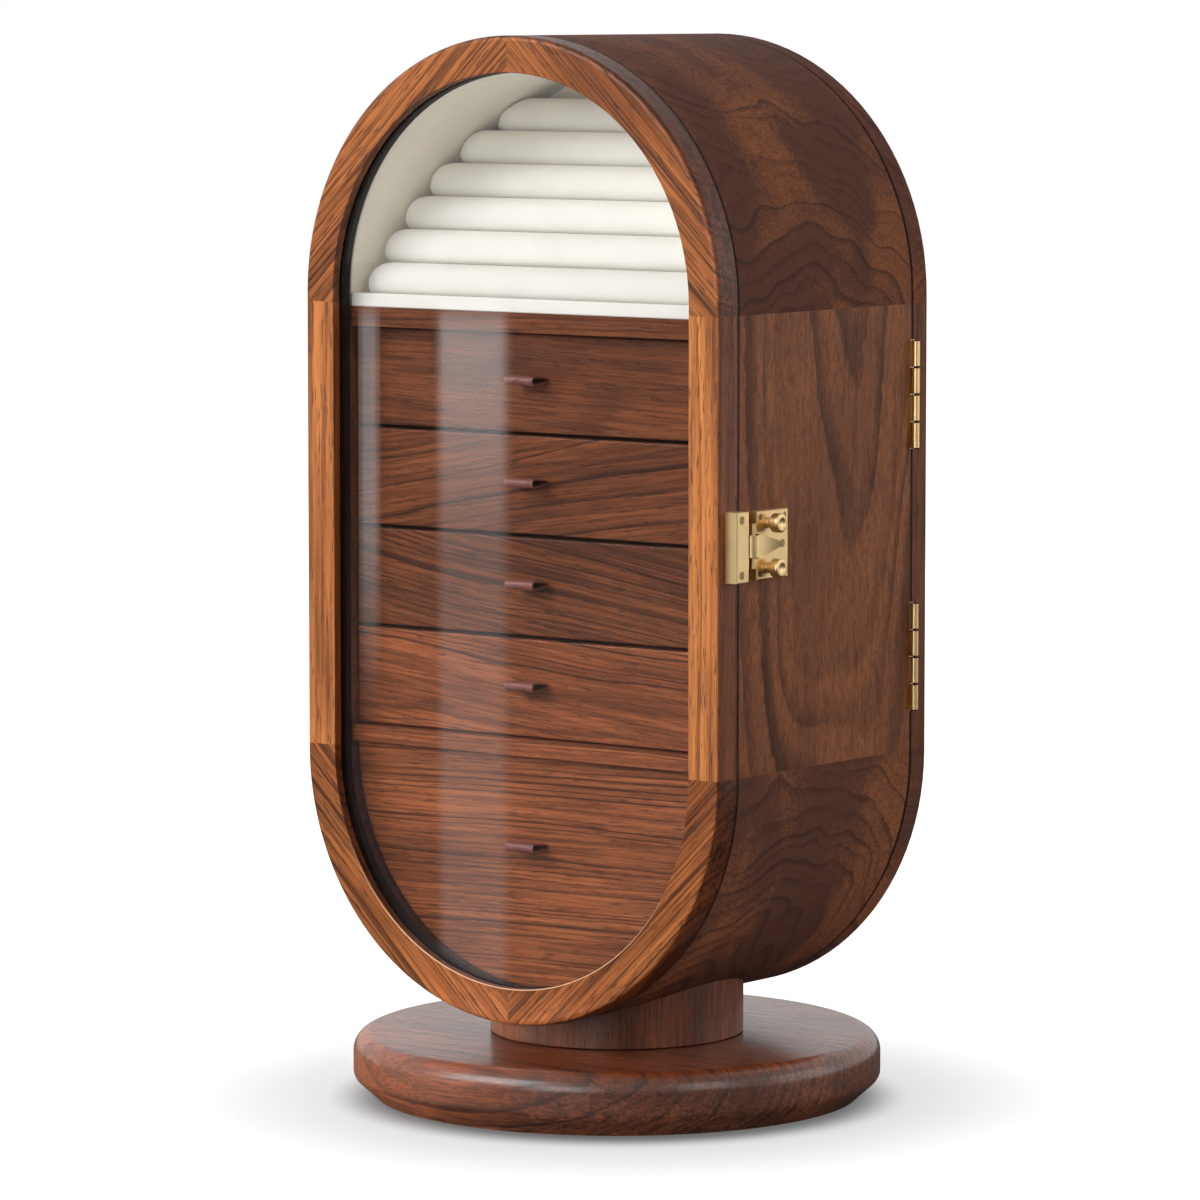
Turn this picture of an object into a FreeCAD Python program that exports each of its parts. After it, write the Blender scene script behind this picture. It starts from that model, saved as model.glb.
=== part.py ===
import FreeCAD, Part
import math
import os

# Rotating jewelry cabinet on a turntable base.
# Millimetres, +Z up, the glazed front faces -Y, the origin is the centre of the base's underside.

# Cabinet outline: straight sides with a half round at the top and the bottom
cabinet_width = 242.0
cabinet_height = 457.0
body_depth = 136.0
shell_thickness = 14.0
arch_joint_drop = 3.8
arch_joint_rise = 2.0

# Base, felt pad and neck
base_diameter = 250.0
base_thickness = 31.5
base_foot_inset = 10.5
base_foot_height = 9.5
base_top_round = 9.0
pad_diameter = 206.0
pad_thickness = 1.5
neck_diameter = 120.0
neck_height = 13.0
turn_gap = 0.6

# Turntable bearing and pivot bolt
race_inner_radius = 30.0
race_outer_radius = 47.0
race_thickness = 3.2
race_gap = 1.6
ball_radius = 2.4
ball_count = 30
pivot_radius = 4.0
pivot_head_radius = 6.5
pivot_head_height = 4.0
pivot_nut_height = 3.2
pivot_washer_radius = 8.0
pivot_washer_thickness = 1.2
pivot_flange = 2.2
pivot_recess_gap = 1.0

# Doors
front_door_thickness = 14.5
rear_door_thickness = 13.0
seam_gap = 0.7
frame_width = 17.0
frame_edge_round = 2.4
frame_inner_round = 0.5
glass_depth = 4.4
glass_thickness = 3.0
glass_lap = 5.6
glass_edge_gap = 0.5
gasket_setback = 1.0
rear_panel_thickness = 5.0
rear_panel_depth = 4.0

# Shelves, partition and linings
upper_shelf_thickness = 9.0
lower_shelf_thickness = 7.5
upper_shelf_drop = 6.5
lower_shelf_rise = 10.5
partition_thickness = 6.0
partition_front = 88.0
lining_thickness = 1.5
lining_setback = 1.0

# Ring tray and padded rolls
tray_floor = 2.5
tray_lip_height = 6.5
tray_lip_thickness = 3.0
tray_setback = 0.5
ramp_thickness = 4.0
roll_count = 6
roll_gap = 0.24
roll_top_share = 0.867
roll_back_gap = 9.1
roll_end_round = 3.0
roll_end_gap = 0.8
seat_gap = 0.3

# Drawers
drawer_count = 4
drawer_gap = 1.2
drawer_side_gap = 0.6
drawer_setback = 6.0
drawer_front_thickness = 10.0
drawer_front_round = 1.2
drawer_back_gap = 3.0
box_side_gap = 5.0
box_wall = 5.0
box_floor = 3.0
box_rise = 5.0
box_drop = 6.0
runner_width = 9.0
runner_height = 4.0
runner_setback = 1.0
trough_runner_thickness = 1.6
trough_runner_width = 24.0
trough_runner_place = 45.0

# Leather loop pulls
pull_width = 16.6
pull_reach = 12.0
pull_height = 4.5
pull_leather = 0.9
pull_root_height = 2.1
pull_root_slit = 0.3
pull_rise = 1.8
bottom_pull_drop = 41.5

# Butt hinges
hinge_length = 51.0
hinge_end_gap = 20.5
hinge_knuckles = 4
knuckle_radius = 1.85
knuckle_gap = 0.6
hinge_pin_radius = 0.8
hinge_axis_out = 2.2
leaf_width = 10.4
leaf_thickness = 1.2
leaf_notch = 0.35
leaf_screw_pitch = 17.0

# Side latch of the front door
latch_thickness = 5.8
latch_length = 23.8
latch_height = 31.0
latch_from_seam = 6.3
keeper_thickness = 6.7
keeper_length = 9.1
keeper_height = 32.0
keeper_edge_gap = 0.2
prong_length = 2.0
prong_height = 4.8
prong_low = 5.6
prong_inset = 1.6
keeper_screw_inset = 3.6
keeper_screw_spread = 25.0
lever_height = 10.0
lever_barrel_radius = 2.6
lever_pin_radius = 0.8
lever_plate = 1.2
lever_tail = 18.5
lever_tip_height = 2.0
lever_nose = 4.2
lever_axis_ahead = 1.4
lever_axis_in = 1.2
ear_radius = 1.5
ear_height = 4.6
button_spread = 20.4
button_from_front = 8.2
button_stem_radius = 2.5
button_head_radius = 4.35
button_head_height = 6.3
button_stroke = 1.5
button_dimple = 0.8
button_collar = 1.4
button_flange_radius = 3.2
button_flange_thickness = 1.0
spring_wire = 0.8
latch_chamfer = 0.5
latch_screw_inset = 2.6

# Rear door magnets and necklace hooks
magnet_radius = 3.5
magnet_inset = 6.5
magnet_thickness = 3.0
magnet_spread = 120.0
hook_count = 7
hook_pitch = 24.0
hook_drop = 14.0
hook_radius = 1.6
hook_reach = 18.0
hook_tip = 6.0
hook_plate_radius = 5.0
hook_plate_thickness = 1.5

# Fits and screws: head radius, head height, shank radius, length
running_gap = 0.05
screw_gap = 0.05
screw_slot_share = 0.35
small_screw = (1.3, 0.9, 0.7, 12.0)
leaf_screw = (1.9, 0.9, 1.0, 11.0)
latch_screw = (1.9, 1.2, 1.0, 15.0)
wood_screw = (3.6, 2.4, 1.8, 26.0)
race_screw = (1.9, 1.3, 1.0, 9.0)

# Values worked out from the sizes above
radius = cabinet_width / 2
straight = cabinet_height / 2 - radius
cabinet_low = base_thickness + neck_height
mid = cabinet_low + cabinet_height / 2
arc_top = mid + straight
arc_low = mid - straight
upper_joint = arc_top - arch_joint_drop
lower_joint = arc_low + arch_joint_rise
body_front = -body_depth / 2
body_back = body_depth / 2
door_back = body_front - seam_gap
door_front = door_back - front_door_thickness
rear_near = body_back + seam_gap
rear_far = rear_near + rear_door_thickness
inner_half = radius - shell_thickness
part_front = body_front + partition_front
part_back = part_front + partition_thickness
upper_shelf_top = arc_top - upper_shelf_drop
upper_shelf_low = upper_shelf_top - upper_shelf_thickness
lower_shelf_top = arc_low + lower_shelf_rise
lower_shelf_low = lower_shelf_top - lower_shelf_thickness
drawer_pitch = (upper_shelf_low - lower_shelf_top) / drawer_count
drawer_front = body_front + drawer_setback
drawer_back = drawer_front + drawer_front_thickness
box_back = part_front - drawer_back_gap
hinge_x = -radius - hinge_axis_out
hinge_y = body_front - seam_gap / 2
far = 4 * cabinet_height

# Rolls: as thick as fills the slope from the tray's lip up to a share of the arch's height
lining_back = part_front - lining_thickness
tray_front = body_front + tray_setback
lip_back = tray_front + tray_lip_thickness
floor_top = upper_shelf_top + tray_floor
roll_reach = inner_half - lining_thickness
slope_depth = lining_back - roll_back_gap - lip_back - seat_gap
slope_height = arc_top + roll_top_share * roll_reach - floor_top - seat_gap
roll_steps = roll_count - 1
slope_sum = roll_steps**2 * roll_gap + slope_depth + slope_height
slope_square = slope_depth**2 + slope_height**2 - (roll_steps * roll_gap) ** 2
steps_left = roll_steps**2 - 2
roll_diameter = (math.sqrt(slope_sum**2 + steps_left * slope_square) - slope_sum) / steps_left
roll_radius = roll_diameter / 2
roll_step_back = (slope_depth - roll_diameter) / roll_steps
roll_step_up = (slope_height - roll_diameter) / roll_steps

# Heights of the bearing and of the pivot's nut
neck_low = base_thickness + turn_gap
ball_mid = base_thickness + turn_gap / 2
ball_circle = (race_inner_radius + race_outer_radius) / 2 - ball_radius / 2
race_low = ball_mid - race_gap / 2 - race_thickness
upper_race_low = ball_mid + race_gap / 2
washer_low = upper_race_low + race_thickness + pivot_flange + running_gap
nut_low = washer_low + pivot_washer_thickness

# Places of the latch on the right side
latch_front = body_front + latch_from_seam
latch_face = radius + latch_thickness
keeper_back = door_back - keeper_edge_gap
keeper_front = keeper_back - keeper_length
ear_low = lever_height / 2 + knuckle_gap
ear_reach = ear_low + ear_height
flange_high = latch_face - button_collar
button_rest_gap = button_stroke + seat_gap

X = FreeCAD.Vector(1, 0, 0)
Y = FreeCAD.Vector(0, 1, 0)
Z = FreeCAD.Vector(0, 0, 1)
parts = {}


def point(x, y, z):
    return FreeCAD.Vector(x, y, z)


def block(x_low, x_high, y_low, y_high, z_low, z_high):
    return Part.makeBox(x_high - x_low, y_high - y_low, z_high - z_low, point(x_low, y_low, z_low))


def rod(r, start, axis, length):
    return Part.makeCylinder(r, length, start, axis)


def prism(points, sweep):
    return Part.Face(Part.makePolygon(points + points[:1])).extrude(sweep)


def stadium(inset, y_low, y_high):
    """The cabinet outline drawn in by inset, as a prism along Y."""
    r = radius - inset
    over = Part.Arc(point(-r, y_low, arc_top), point(0, y_low, arc_top + r), point(r, y_low, arc_top))
    under = Part.Arc(point(r, y_low, arc_low), point(0, y_low, arc_low - r), point(-r, y_low, arc_low))
    right = Part.LineSegment(point(r, y_low, arc_top), point(r, y_low, arc_low))
    left = Part.LineSegment(point(-r, y_low, arc_low), point(-r, y_low, arc_top))
    wire = Part.Wire([line.toShape() for line in (over, right, under, left)])
    return Part.Face(wire).extrude(point(0, y_high - y_low, 0))


def hoop(outer_inset, inner_inset, y_low, y_high):
    return stadium(outer_inset, y_low, y_high).cut(stadium(inner_inset, y_low - 1, y_high + 1))


def above(shape, z):
    return shape.common(block(-far, far, -far, far, z, far))


def below(shape, z):
    return shape.common(block(-far, far, -far, far, -far, z))


def between(shape, z_low, z_high):
    return shape.common(block(-far, far, -far, far, z_low, z_high))


def side_of(shape, sign):
    x_low, x_high = (0, far) if sign > 0 else (-far, 0)
    return shape.common(block(x_low, x_high, -far, far, -far, far))


def screw(seat, axis, size, slot=True):
    """A countersunk slotted screw, with the top of its head at seat."""
    head_radius, head_height, shank_radius, length = size
    head = Part.makeCone(head_radius, shank_radius, head_height)
    solid = head.fuse(Part.makeCylinder(shank_radius, length))
    if slot:
        half = head_radius * screw_slot_share / 2
        groove = block(-half, half, -head_radius, head_radius, -head_height, head_height * screw_slot_share)
        solid = solid.cut(groove)
    solid.Placement = FreeCAD.Placement(seat, FreeCAD.Rotation(Z, axis))
    return solid


def drill(shape, seats, axis, size, recess=0.0):
    """Cuts a hole for each screw, with room for its head down from a recess."""
    head_radius, head_height, shank_radius, length = size
    grown = (head_radius + screw_gap, head_height, shank_radius + screw_gap, length + screw_gap)
    for seat in seats:
        shape = shape.cut(screw(seat, axis, grown, slot=False))
        if recess:
            shape = shape.cut(rod(grown[0], seat - axis * recess, axis, recess))
    return shape


def base():
    """Base disc, felt pad, lower bearing race, balls and the pivot bolt."""
    r = base_diameter / 2
    top = base_thickness
    foot = pad_thickness
    curve = base_top_round * (1 - math.sqrt(0.5))
    line = [
        Part.LineSegment(point(0, 0, foot), point(r - base_foot_inset, 0, foot)),
        Part.LineSegment(point(r - base_foot_inset, 0, foot), point(r, 0, foot + base_foot_height)),
        Part.LineSegment(point(r, 0, foot + base_foot_height), point(r, 0, top - base_top_round)),
        Part.Arc(
            point(r, 0, top - base_top_round),
            point(r - curve, 0, top - curve),
            point(r - base_top_round, 0, top),
        ),
        Part.LineSegment(point(r - base_top_round, 0, top), point(0, 0, top)),
        Part.LineSegment(point(0, 0, top), point(0, 0, foot)),
    ]
    disc = Part.Face(Part.Wire([edge.toShape() for edge in line])).revolve(point(0, 0, 0), Z, 360)
    disc = disc.cut(rod(race_outer_radius + screw_gap, point(0, 0, race_low), Z, far))
    disc = disc.cut(rod(pivot_radius + screw_gap, point(0, 0, 0), Z, far))
    head_room = pivot_head_height + pivot_recess_gap
    disc = disc.cut(rod(pivot_washer_radius + pivot_recess_gap, point(0, 0, 0), Z, foot + head_room))
    seats = race_seats(0, race_low + race_thickness)
    parts["base_disc"] = drill(disc, seats, -Z, race_screw)
    parts["base_felt_pad"] = rod(pad_diameter / 2, point(0, 0, 0), Z, pad_thickness)

    parts["bearing_lower_race"] = drill(ball_race(race_low), seats, -Z, race_screw)
    parts["base_screws"] = Part.makeCompound([screw(seat, -Z, race_screw) for seat in seats])

    balls = []
    for index in range(ball_count):
        angle = 2 * math.pi * index / ball_count
        centre = point(ball_circle * math.cos(angle), ball_circle * math.sin(angle), ball_mid)
        balls.append(Part.makeSphere(ball_radius, centre))
    parts["bearing_balls"] = Part.makeCompound(balls)

    head = hexagon(pivot_head_radius, foot + pivot_recess_gap, pivot_head_height)
    shank_top = nut_low + pivot_nut_height + pivot_recess_gap
    shank_low = foot + pivot_recess_gap + pivot_head_height
    bolt = head.fuse(rod(pivot_radius, point(0, 0, shank_low), Z, shank_top - shank_low))
    washer = rod(pivot_washer_radius, point(0, 0, washer_low), Z, pivot_washer_thickness)
    nut = hexagon(pivot_head_radius, nut_low, pivot_nut_height)
    hole = rod(pivot_radius + screw_gap, point(0, 0, 0), Z, far)
    parts["pivot_bolt"] = Part.makeCompound([bolt, washer.cut(hole), nut.cut(hole)])


def hexagon(across, z, height):
    corners = [math.radians(60 * index) for index in range(6)]
    return prism([point(across * math.cos(a), across * math.sin(a), z) for a in corners], Z * height)


def ball_race(z):
    ring = rod(race_outer_radius, point(0, 0, z), Z, race_thickness)
    ring = ring.cut(rod(race_inner_radius, point(0, 0, z), Z, race_thickness))
    groove = Part.makeTorus(ball_circle, ball_radius + running_gap, point(0, 0, ball_mid), Z)
    return ring.cut(groove)


def race_seats(turn, z):
    r = (ball_circle + ball_radius + race_outer_radius) / 2
    angles = [math.radians(turn + 90 * index) for index in range(4)]
    return [point(r * math.cos(a), r * math.sin(a), z) for a in angles]


def neck():
    """Neck under the cabinet and the bearing race in its underside."""
    column = rod(neck_diameter / 2, point(0, 0, neck_low), Z, radius)
    column = column.cut(stadium(0, -far, far))
    column = below(column, arc_low)
    recess = upper_race_low + race_thickness - neck_low
    column = column.cut(rod(race_outer_radius + screw_gap, point(0, 0, neck_low), Z, recess))
    column = column.cut(rod(pivot_radius + running_gap, point(0, 0, 0), Z, far))
    well = point(0, 0, washer_low - running_gap)
    column = column.cut(rod(pivot_washer_radius + pivot_recess_gap, well, Z, far))
    column = drill(column, neck_seats(), -Z, wood_screw)
    seats = race_seats(45, upper_race_low)
    parts["neck"] = drill(column, seats, Z, race_screw)
    parts["bearing_upper_race"] = drill(ball_race(upper_race_low), seats, Z, race_screw)


def neck_seats():
    """Seats of the screws that hold the neck, sunk below the inside of the bottom arch."""
    reach = (race_outer_radius + neck_diameter / 2) / 2 / math.sqrt(2)
    z = arc_low - math.sqrt(inner_half**2 - reach**2) - wood_screw[1]
    return [point(x, y, z) for x in (-reach, reach) for y in (-reach, reach)]


def shell():
    """Two arches and two sides, the two shelves and the partition."""
    ring = hoop(0, shell_thickness, body_front, body_back)
    parts["top_arch"] = above(ring, upper_joint)
    bottom = drill(below(ring, lower_joint), neck_seats(), -Z, wood_screw, recess=2 * wood_screw[1])
    parts["bottom_arch"] = bottom
    for name, sign in (("left_side", -1), ("right_side", 1)):
        parts[name] = side_of(between(ring, lower_joint, upper_joint), sign)
    board = stadium(shell_thickness, body_front, part_front)
    parts["upper_shelf"] = between(board, upper_shelf_low, upper_shelf_top)
    parts["lower_shelf"] = between(board, lower_shelf_low, lower_shelf_top)
    parts["partition"] = stadium(shell_thickness, part_front, part_back)


def ring_rolls():
    """Linings, the tray with its ramp, and the padded rolls that hold rings."""
    lining_front = body_front + lining_setback
    strip = hoop(shell_thickness, shell_thickness + lining_thickness, lining_front, lining_back)
    strip = above(strip, upper_shelf_top)
    back = above(stadium(shell_thickness, lining_back, part_front), upper_shelf_top)
    parts["arch_lining"] = Part.makeCompound([strip, back])

    room = stadium(shell_thickness + lining_thickness + seat_gap, tray_front, lining_back - seat_gap)
    floor = between(room, upper_shelf_top, floor_top)
    lip = between(room, upper_shelf_top, upper_shelf_top + tray_lip_height)
    lip = lip.common(block(-far, far, tray_front, lip_back, -far, far))
    first = point(0, lip_back + seat_gap + roll_radius, floor_top + seat_gap + roll_radius)
    rise = point(0, roll_step_back, roll_step_up).normalize()
    out = point(0, rise.z, -rise.y)
    near = first + out * (roll_radius + seat_gap)
    step = point(0, roll_step_back, roll_step_up)
    top = near + rise * (rise.dot(step) * roll_steps + roll_radius / 2)
    foot = near + rise * ((floor_top - near.z) / rise.z)
    heel = foot + Y * (ramp_thickness / rise.z)
    ramp = prism([p - X * radius for p in (foot, top, top + out * ramp_thickness, heel)], X * cabinet_width)
    parts["ring_tray"] = floor.fuse([lip, ramp.common(room)]).removeSplitter()

    rolls = []
    for index in range(roll_count):
        centre = first + step * index
        rise_over = max(centre.z + roll_radius - arc_top, 0)
        half = math.sqrt(roll_reach**2 - rise_over**2) - roll_end_gap
        roll = rod(roll_radius, centre - X * half, X, 2 * half)
        ends = [edge for edge in roll.Edges if edge.Closed]
        rolls.append(roll.makeFillet(roll_end_round, ends))
    parts["ring_rolls"] = Part.makeCompound(rolls)


def drawer_spans():
    """Bottom and top of each drawer front, from the top drawer down."""
    spans = []
    for index in range(drawer_count):
        top = upper_shelf_low - index * drawer_pitch
        spans.append((top - drawer_pitch + drawer_gap / 2, top - drawer_gap / 2))
    return spans


def drawers():
    """Four equal drawers, a round-bottomed one below them, and the strips that they run on."""
    runners = []
    half = inner_half - drawer_side_gap
    box_half = inner_half - box_side_gap
    for index, (low, top) in enumerate(drawer_spans()):
        name = "drawer_%d" % (index + 1)
        front = block(-half, half, drawer_front, drawer_back, low, top)
        parts[name + "_front"] = soften_front(front)
        box_low = low + box_rise
        box = block(-box_half, box_half, drawer_back, box_back, box_low, top - box_drop)
        clear = box_half - box_wall
        inside = block(-clear, clear, drawer_back, box_back - box_wall, box_low + box_floor, top)
        parts[name + "_box"] = box.cut(inside)
        parts[name + "_pull"] = pull((low + top) / 2 + pull_rise)
        runner_top = box_low - seat_gap
        for sign in (-1, 1):
            start = -inner_half if sign < 0 else inner_half - runner_width
            front = drawer_back + runner_setback
            runner_low = runner_top - runner_height
            runners.append(block(start, start + runner_width, front, part_front, runner_low, runner_top))

    name = "drawer_%d" % (drawer_count + 1)
    top = lower_shelf_low - drawer_gap / 2
    front = below(stadium(shell_thickness + drawer_side_gap, drawer_front, drawer_back), top)
    parts[name + "_front"] = soften_front(front)
    strip_far = shell_thickness + seat_gap + trough_runner_thickness
    inset = strip_far + seat_gap
    trough = stadium(inset, drawer_back, box_back)
    trough = trough.cut(stadium(inset + box_wall, drawer_back - 1, box_back - box_wall))
    parts[name + "_box"] = below(trough, top - box_drop)
    parts[name + "_pull"] = pull(top - bottom_pull_drop)
    runner_front = drawer_back + runner_setback
    strip = hoop(shell_thickness + seat_gap, strip_far, runner_front, part_front)
    place = inner_half * math.sin(math.radians(trough_runner_place))
    for sign in (-1, 1):
        start = sign * place - trough_runner_width / 2
        runners.append(strip.common(block(start, start + trough_runner_width, -far, far, -far, arc_low)))
    parts["drawer_runners"] = Part.makeCompound(runners)


def soften_front(shape):
    """Rounds the edges around a drawer's front face."""
    edges = [edge for edge in shape.Edges if abs(edge.BoundBox.YMax - drawer_front) < 0.01]
    return shape.makeFillet(drawer_front_round, edges)


def pull(z):
    """A strip of leather folded into a loop, pinched where it enters the drawer front."""
    outer = loop_face(z, 0)
    inner = loop_face(z, pull_leather)
    return outer.extrude(X * pull_width).cut(inner.extrude(X * pull_width))


def loop_face(z, inset):
    """Side view of the loop, drawn in by inset: a round nose and two straight flanks to the root."""
    nose = pull_height / 2 - inset
    centre = drawer_front - pull_reach + pull_height / 2
    root = max(pull_root_height / 2 - inset, pull_root_slit / 2)
    back = drawer_front
    x = -pull_width / 2
    tip = Part.Arc(point(x, centre, z + nose), point(x, centre - nose, z), point(x, centre, z - nose))
    low = Part.LineSegment(point(x, centre, z - nose), point(x, back, z - root))
    end = Part.LineSegment(point(x, back, z - root), point(x, back, z + root))
    high = Part.LineSegment(point(x, back, z + root), point(x, centre, z + nose))
    return Part.Face(Part.Wire([edge.toShape() for edge in (tip, low, end, high)]))


def front_edges(shape, y, inset):
    """Edges of a prism's face at y that follow the cabinet outline drawn in by inset."""
    found = []
    for edge in shape.Edges:
        spot = edge.valueAt((edge.FirstParameter + edge.LastParameter) / 2)
        beyond = max(abs(spot.z - mid) - straight, 0)
        if abs(spot.y - y) < 0.01 and abs(math.hypot(spot.x, beyond) - radius + inset) < 0.01:
            found.append(edge)
    return found


def front_door():
    """Six wooden frame pieces, the glass and its black gasket."""
    ring = hoop(0, frame_width, door_front, door_back)
    ring = ring.makeFillet(frame_edge_round, front_edges(ring, door_front, 0))
    ring = ring.makeFillet(frame_inner_round, front_edges(ring, door_front, frame_width))
    rebate = frame_width - glass_lap
    glass_front = door_front + glass_depth
    glass_back = glass_front + glass_thickness
    ring = ring.cut(stadium(rebate, glass_front, door_back + 1))
    for side, sign in (("left", -1), ("right", 1)):
        parts["front_%s_stile" % side] = side_of(between(ring, lower_joint, upper_joint), sign)
        parts["front_top_%s_arc" % side] = side_of(above(ring, upper_joint), sign)
        parts["front_bottom_%s_arc" % side] = side_of(below(ring, lower_joint), sign)
    parts["front_glass"] = stadium(rebate + glass_edge_gap, glass_front, glass_back)
    parts["front_gasket"] = hoop(rebate + screw_gap, frame_width, glass_back, door_back - gasket_setback)


def rear_door():
    """A framed wooden panel that closes the space behind the partition."""
    ring = hoop(0, frame_width, rear_near, rear_far)
    ring = ring.makeFillet(frame_edge_round, front_edges(ring, rear_far, 0))
    ring = ring.makeFillet(frame_inner_round, front_edges(ring, rear_far, frame_width))
    rebate = frame_width - glass_lap
    panel_far = rear_far - rear_panel_depth
    ring = ring.cut(stadium(rebate, rear_near - 1, panel_far))
    stiles = [side_of(between(ring, lower_joint, upper_joint), sign) for sign in (-1, 1)]
    for place in magnet_places():
        seat = point(place.x, rear_near, place.z)
        stiles[0] = stiles[0].cut(rod(magnet_radius + screw_gap, seat, Y, magnet_thickness))
    parts["rear_stiles"] = stiles
    parts["rear_arcs"] = Part.makeCompound([above(ring, upper_joint), below(ring, lower_joint)])
    parts["rear_panel"] = stadium(rebate + glass_edge_gap, panel_far - rear_panel_thickness, panel_far)


def magnet_places():
    return [point(-radius + magnet_inset, body_back, mid + sign * magnet_spread / 2) for sign in (-1, 1)]


def magnets():
    """Magnets in the left side that hold the rear door shut."""
    discs = []
    for place in magnet_places():
        discs.append(rod(magnet_radius, place, -Y, magnet_thickness))
        bed = rod(magnet_radius + screw_gap, place, -Y, magnet_thickness)
        parts["left_side"] = parts["left_side"].cut(bed)
    parts["rear_magnets"] = Part.makeCompound(discs)


def hinge_middles():
    reach = straight - hinge_end_gap - hinge_length / 2
    return [mid + sign * reach for sign in (-1, 1)]


def leaf(z, plate_low, plate_high, first):
    """One leaf of a front hinge: a plate in the seam and every second knuckle."""
    plate_edge = hinge_x + knuckle_radius + leaf_notch
    low = z - hinge_length / 2
    solid = block(plate_edge, -radius + leaf_width, plate_low, plate_high, low, low + hinge_length)
    pitch = hinge_length / hinge_knuckles
    for index in range(first, hinge_knuckles, 2):
        start = low + index * pitch + knuckle_gap / 2
        height = pitch - knuckle_gap
        solid = solid.fuse(rod(knuckle_radius, point(hinge_x, hinge_y, start), Z, height))
        solid = solid.fuse(block(hinge_x, plate_edge, plate_low, plate_high, start, start + height))
    return solid.cut(rod(hinge_pin_radius + running_gap, point(hinge_x, hinge_y, low), Z, hinge_length))


def leaf_seats(y):
    x = -radius + leaf_width / 2
    return [point(x, y, z + step * leaf_screw_pitch) for z in hinge_middles() for step in (-1, 0, 1)]


def turned(shape):
    """A copy turned half round the cabinet's upright axis."""
    copy = shape.copy()
    copy.rotate(point(0, 0, 0), Z, 180)
    return copy


def hinges():
    """Two butt hinges on the left for the front door, and two on the right for the rear door."""
    door_leaves = [leaf(z, door_back - leaf_thickness, door_back, 0) for z in hinge_middles()]
    body_leaves = [leaf(z, body_front, body_front + leaf_thickness, 1) for z in hinge_middles()]
    pins = []
    for z in hinge_middles():
        pins.append(rod(hinge_pin_radius, point(hinge_x, hinge_y, z - hinge_length / 2), Z, hinge_length))
    door_bed = Part.makeCompound([leaf_bed(z, door_back - leaf_thickness) for z in hinge_middles()])
    body_bed = Part.makeCompound([leaf_bed(z, body_front) for z in hinge_middles()])

    stile = parts["front_left_stile"].cut(door_bed)
    parts["front_left_stile"] = drill(stile, leaf_seats(door_back), -Y, leaf_screw)
    parts["left_side"] = drill(parts["left_side"].cut(body_bed), leaf_seats(body_front), Y, leaf_screw)
    right = turned(parts["right_side"]).cut(body_bed)
    parts["right_side"] = turned(drill(right, leaf_seats(body_front), Y, leaf_screw))
    left_stile, right_stile = parts["rear_stiles"]
    right_stile = drill(turned(right_stile).cut(door_bed), leaf_seats(door_back), -Y, leaf_screw)
    parts["rear_stiles"] = Part.makeCompound([left_stile, turned(right_stile)])

    door_leaves = [drill(one, leaf_seats(door_back), -Y, leaf_screw) for one in door_leaves]
    body_leaves = [drill(one, leaf_seats(body_front), Y, leaf_screw) for one in body_leaves]
    parts["front_hinge_leaves"] = Part.makeCompound(door_leaves)
    parts["rear_hinge_leaves"] = Part.makeCompound([turned(one) for one in door_leaves])
    parts["body_hinge_leaves"] = Part.makeCompound(body_leaves + [turned(one) for one in body_leaves])
    lever_pin = rod(lever_pin_radius, lever_axis() - Z * ear_reach, Z, 2 * ear_reach)
    parts["hinge_pins"] = Part.makeCompound(pins + [turned(one) for one in pins] + [lever_pin])


def leaf_bed(z, y):
    low = z - hinge_length / 2
    return block(-radius, -radius + leaf_width, y, y + leaf_thickness, low, low + hinge_length)


def lever_axis():
    return point(latch_face - lever_axis_in, latch_front - lever_axis_ahead, mid)


def button_axes():
    y = latch_front + button_from_front
    return [point(radius, y, mid + sign * button_spread / 2) for sign in (-1, 1)]


def keeper_seats():
    x = radius + keeper_thickness
    y = keeper_front + keeper_screw_inset
    return [point(x, y, mid + sign * keeper_screw_spread / 2) for sign in (-1, 1)]


def latch_seats():
    y_places = (latch_front + latch_screw_inset, latch_front + latch_length - latch_screw_inset)
    z_reach = latch_height / 2 - latch_screw_inset
    return [point(latch_face, y, mid + sign * z_reach) for y in y_places for sign in (-1, 1)]


def lever_seat():
    tip = lever_axis().y + lever_tail
    return point(latch_face, tip + latch_screw[0] + seat_gap, mid)


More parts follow.
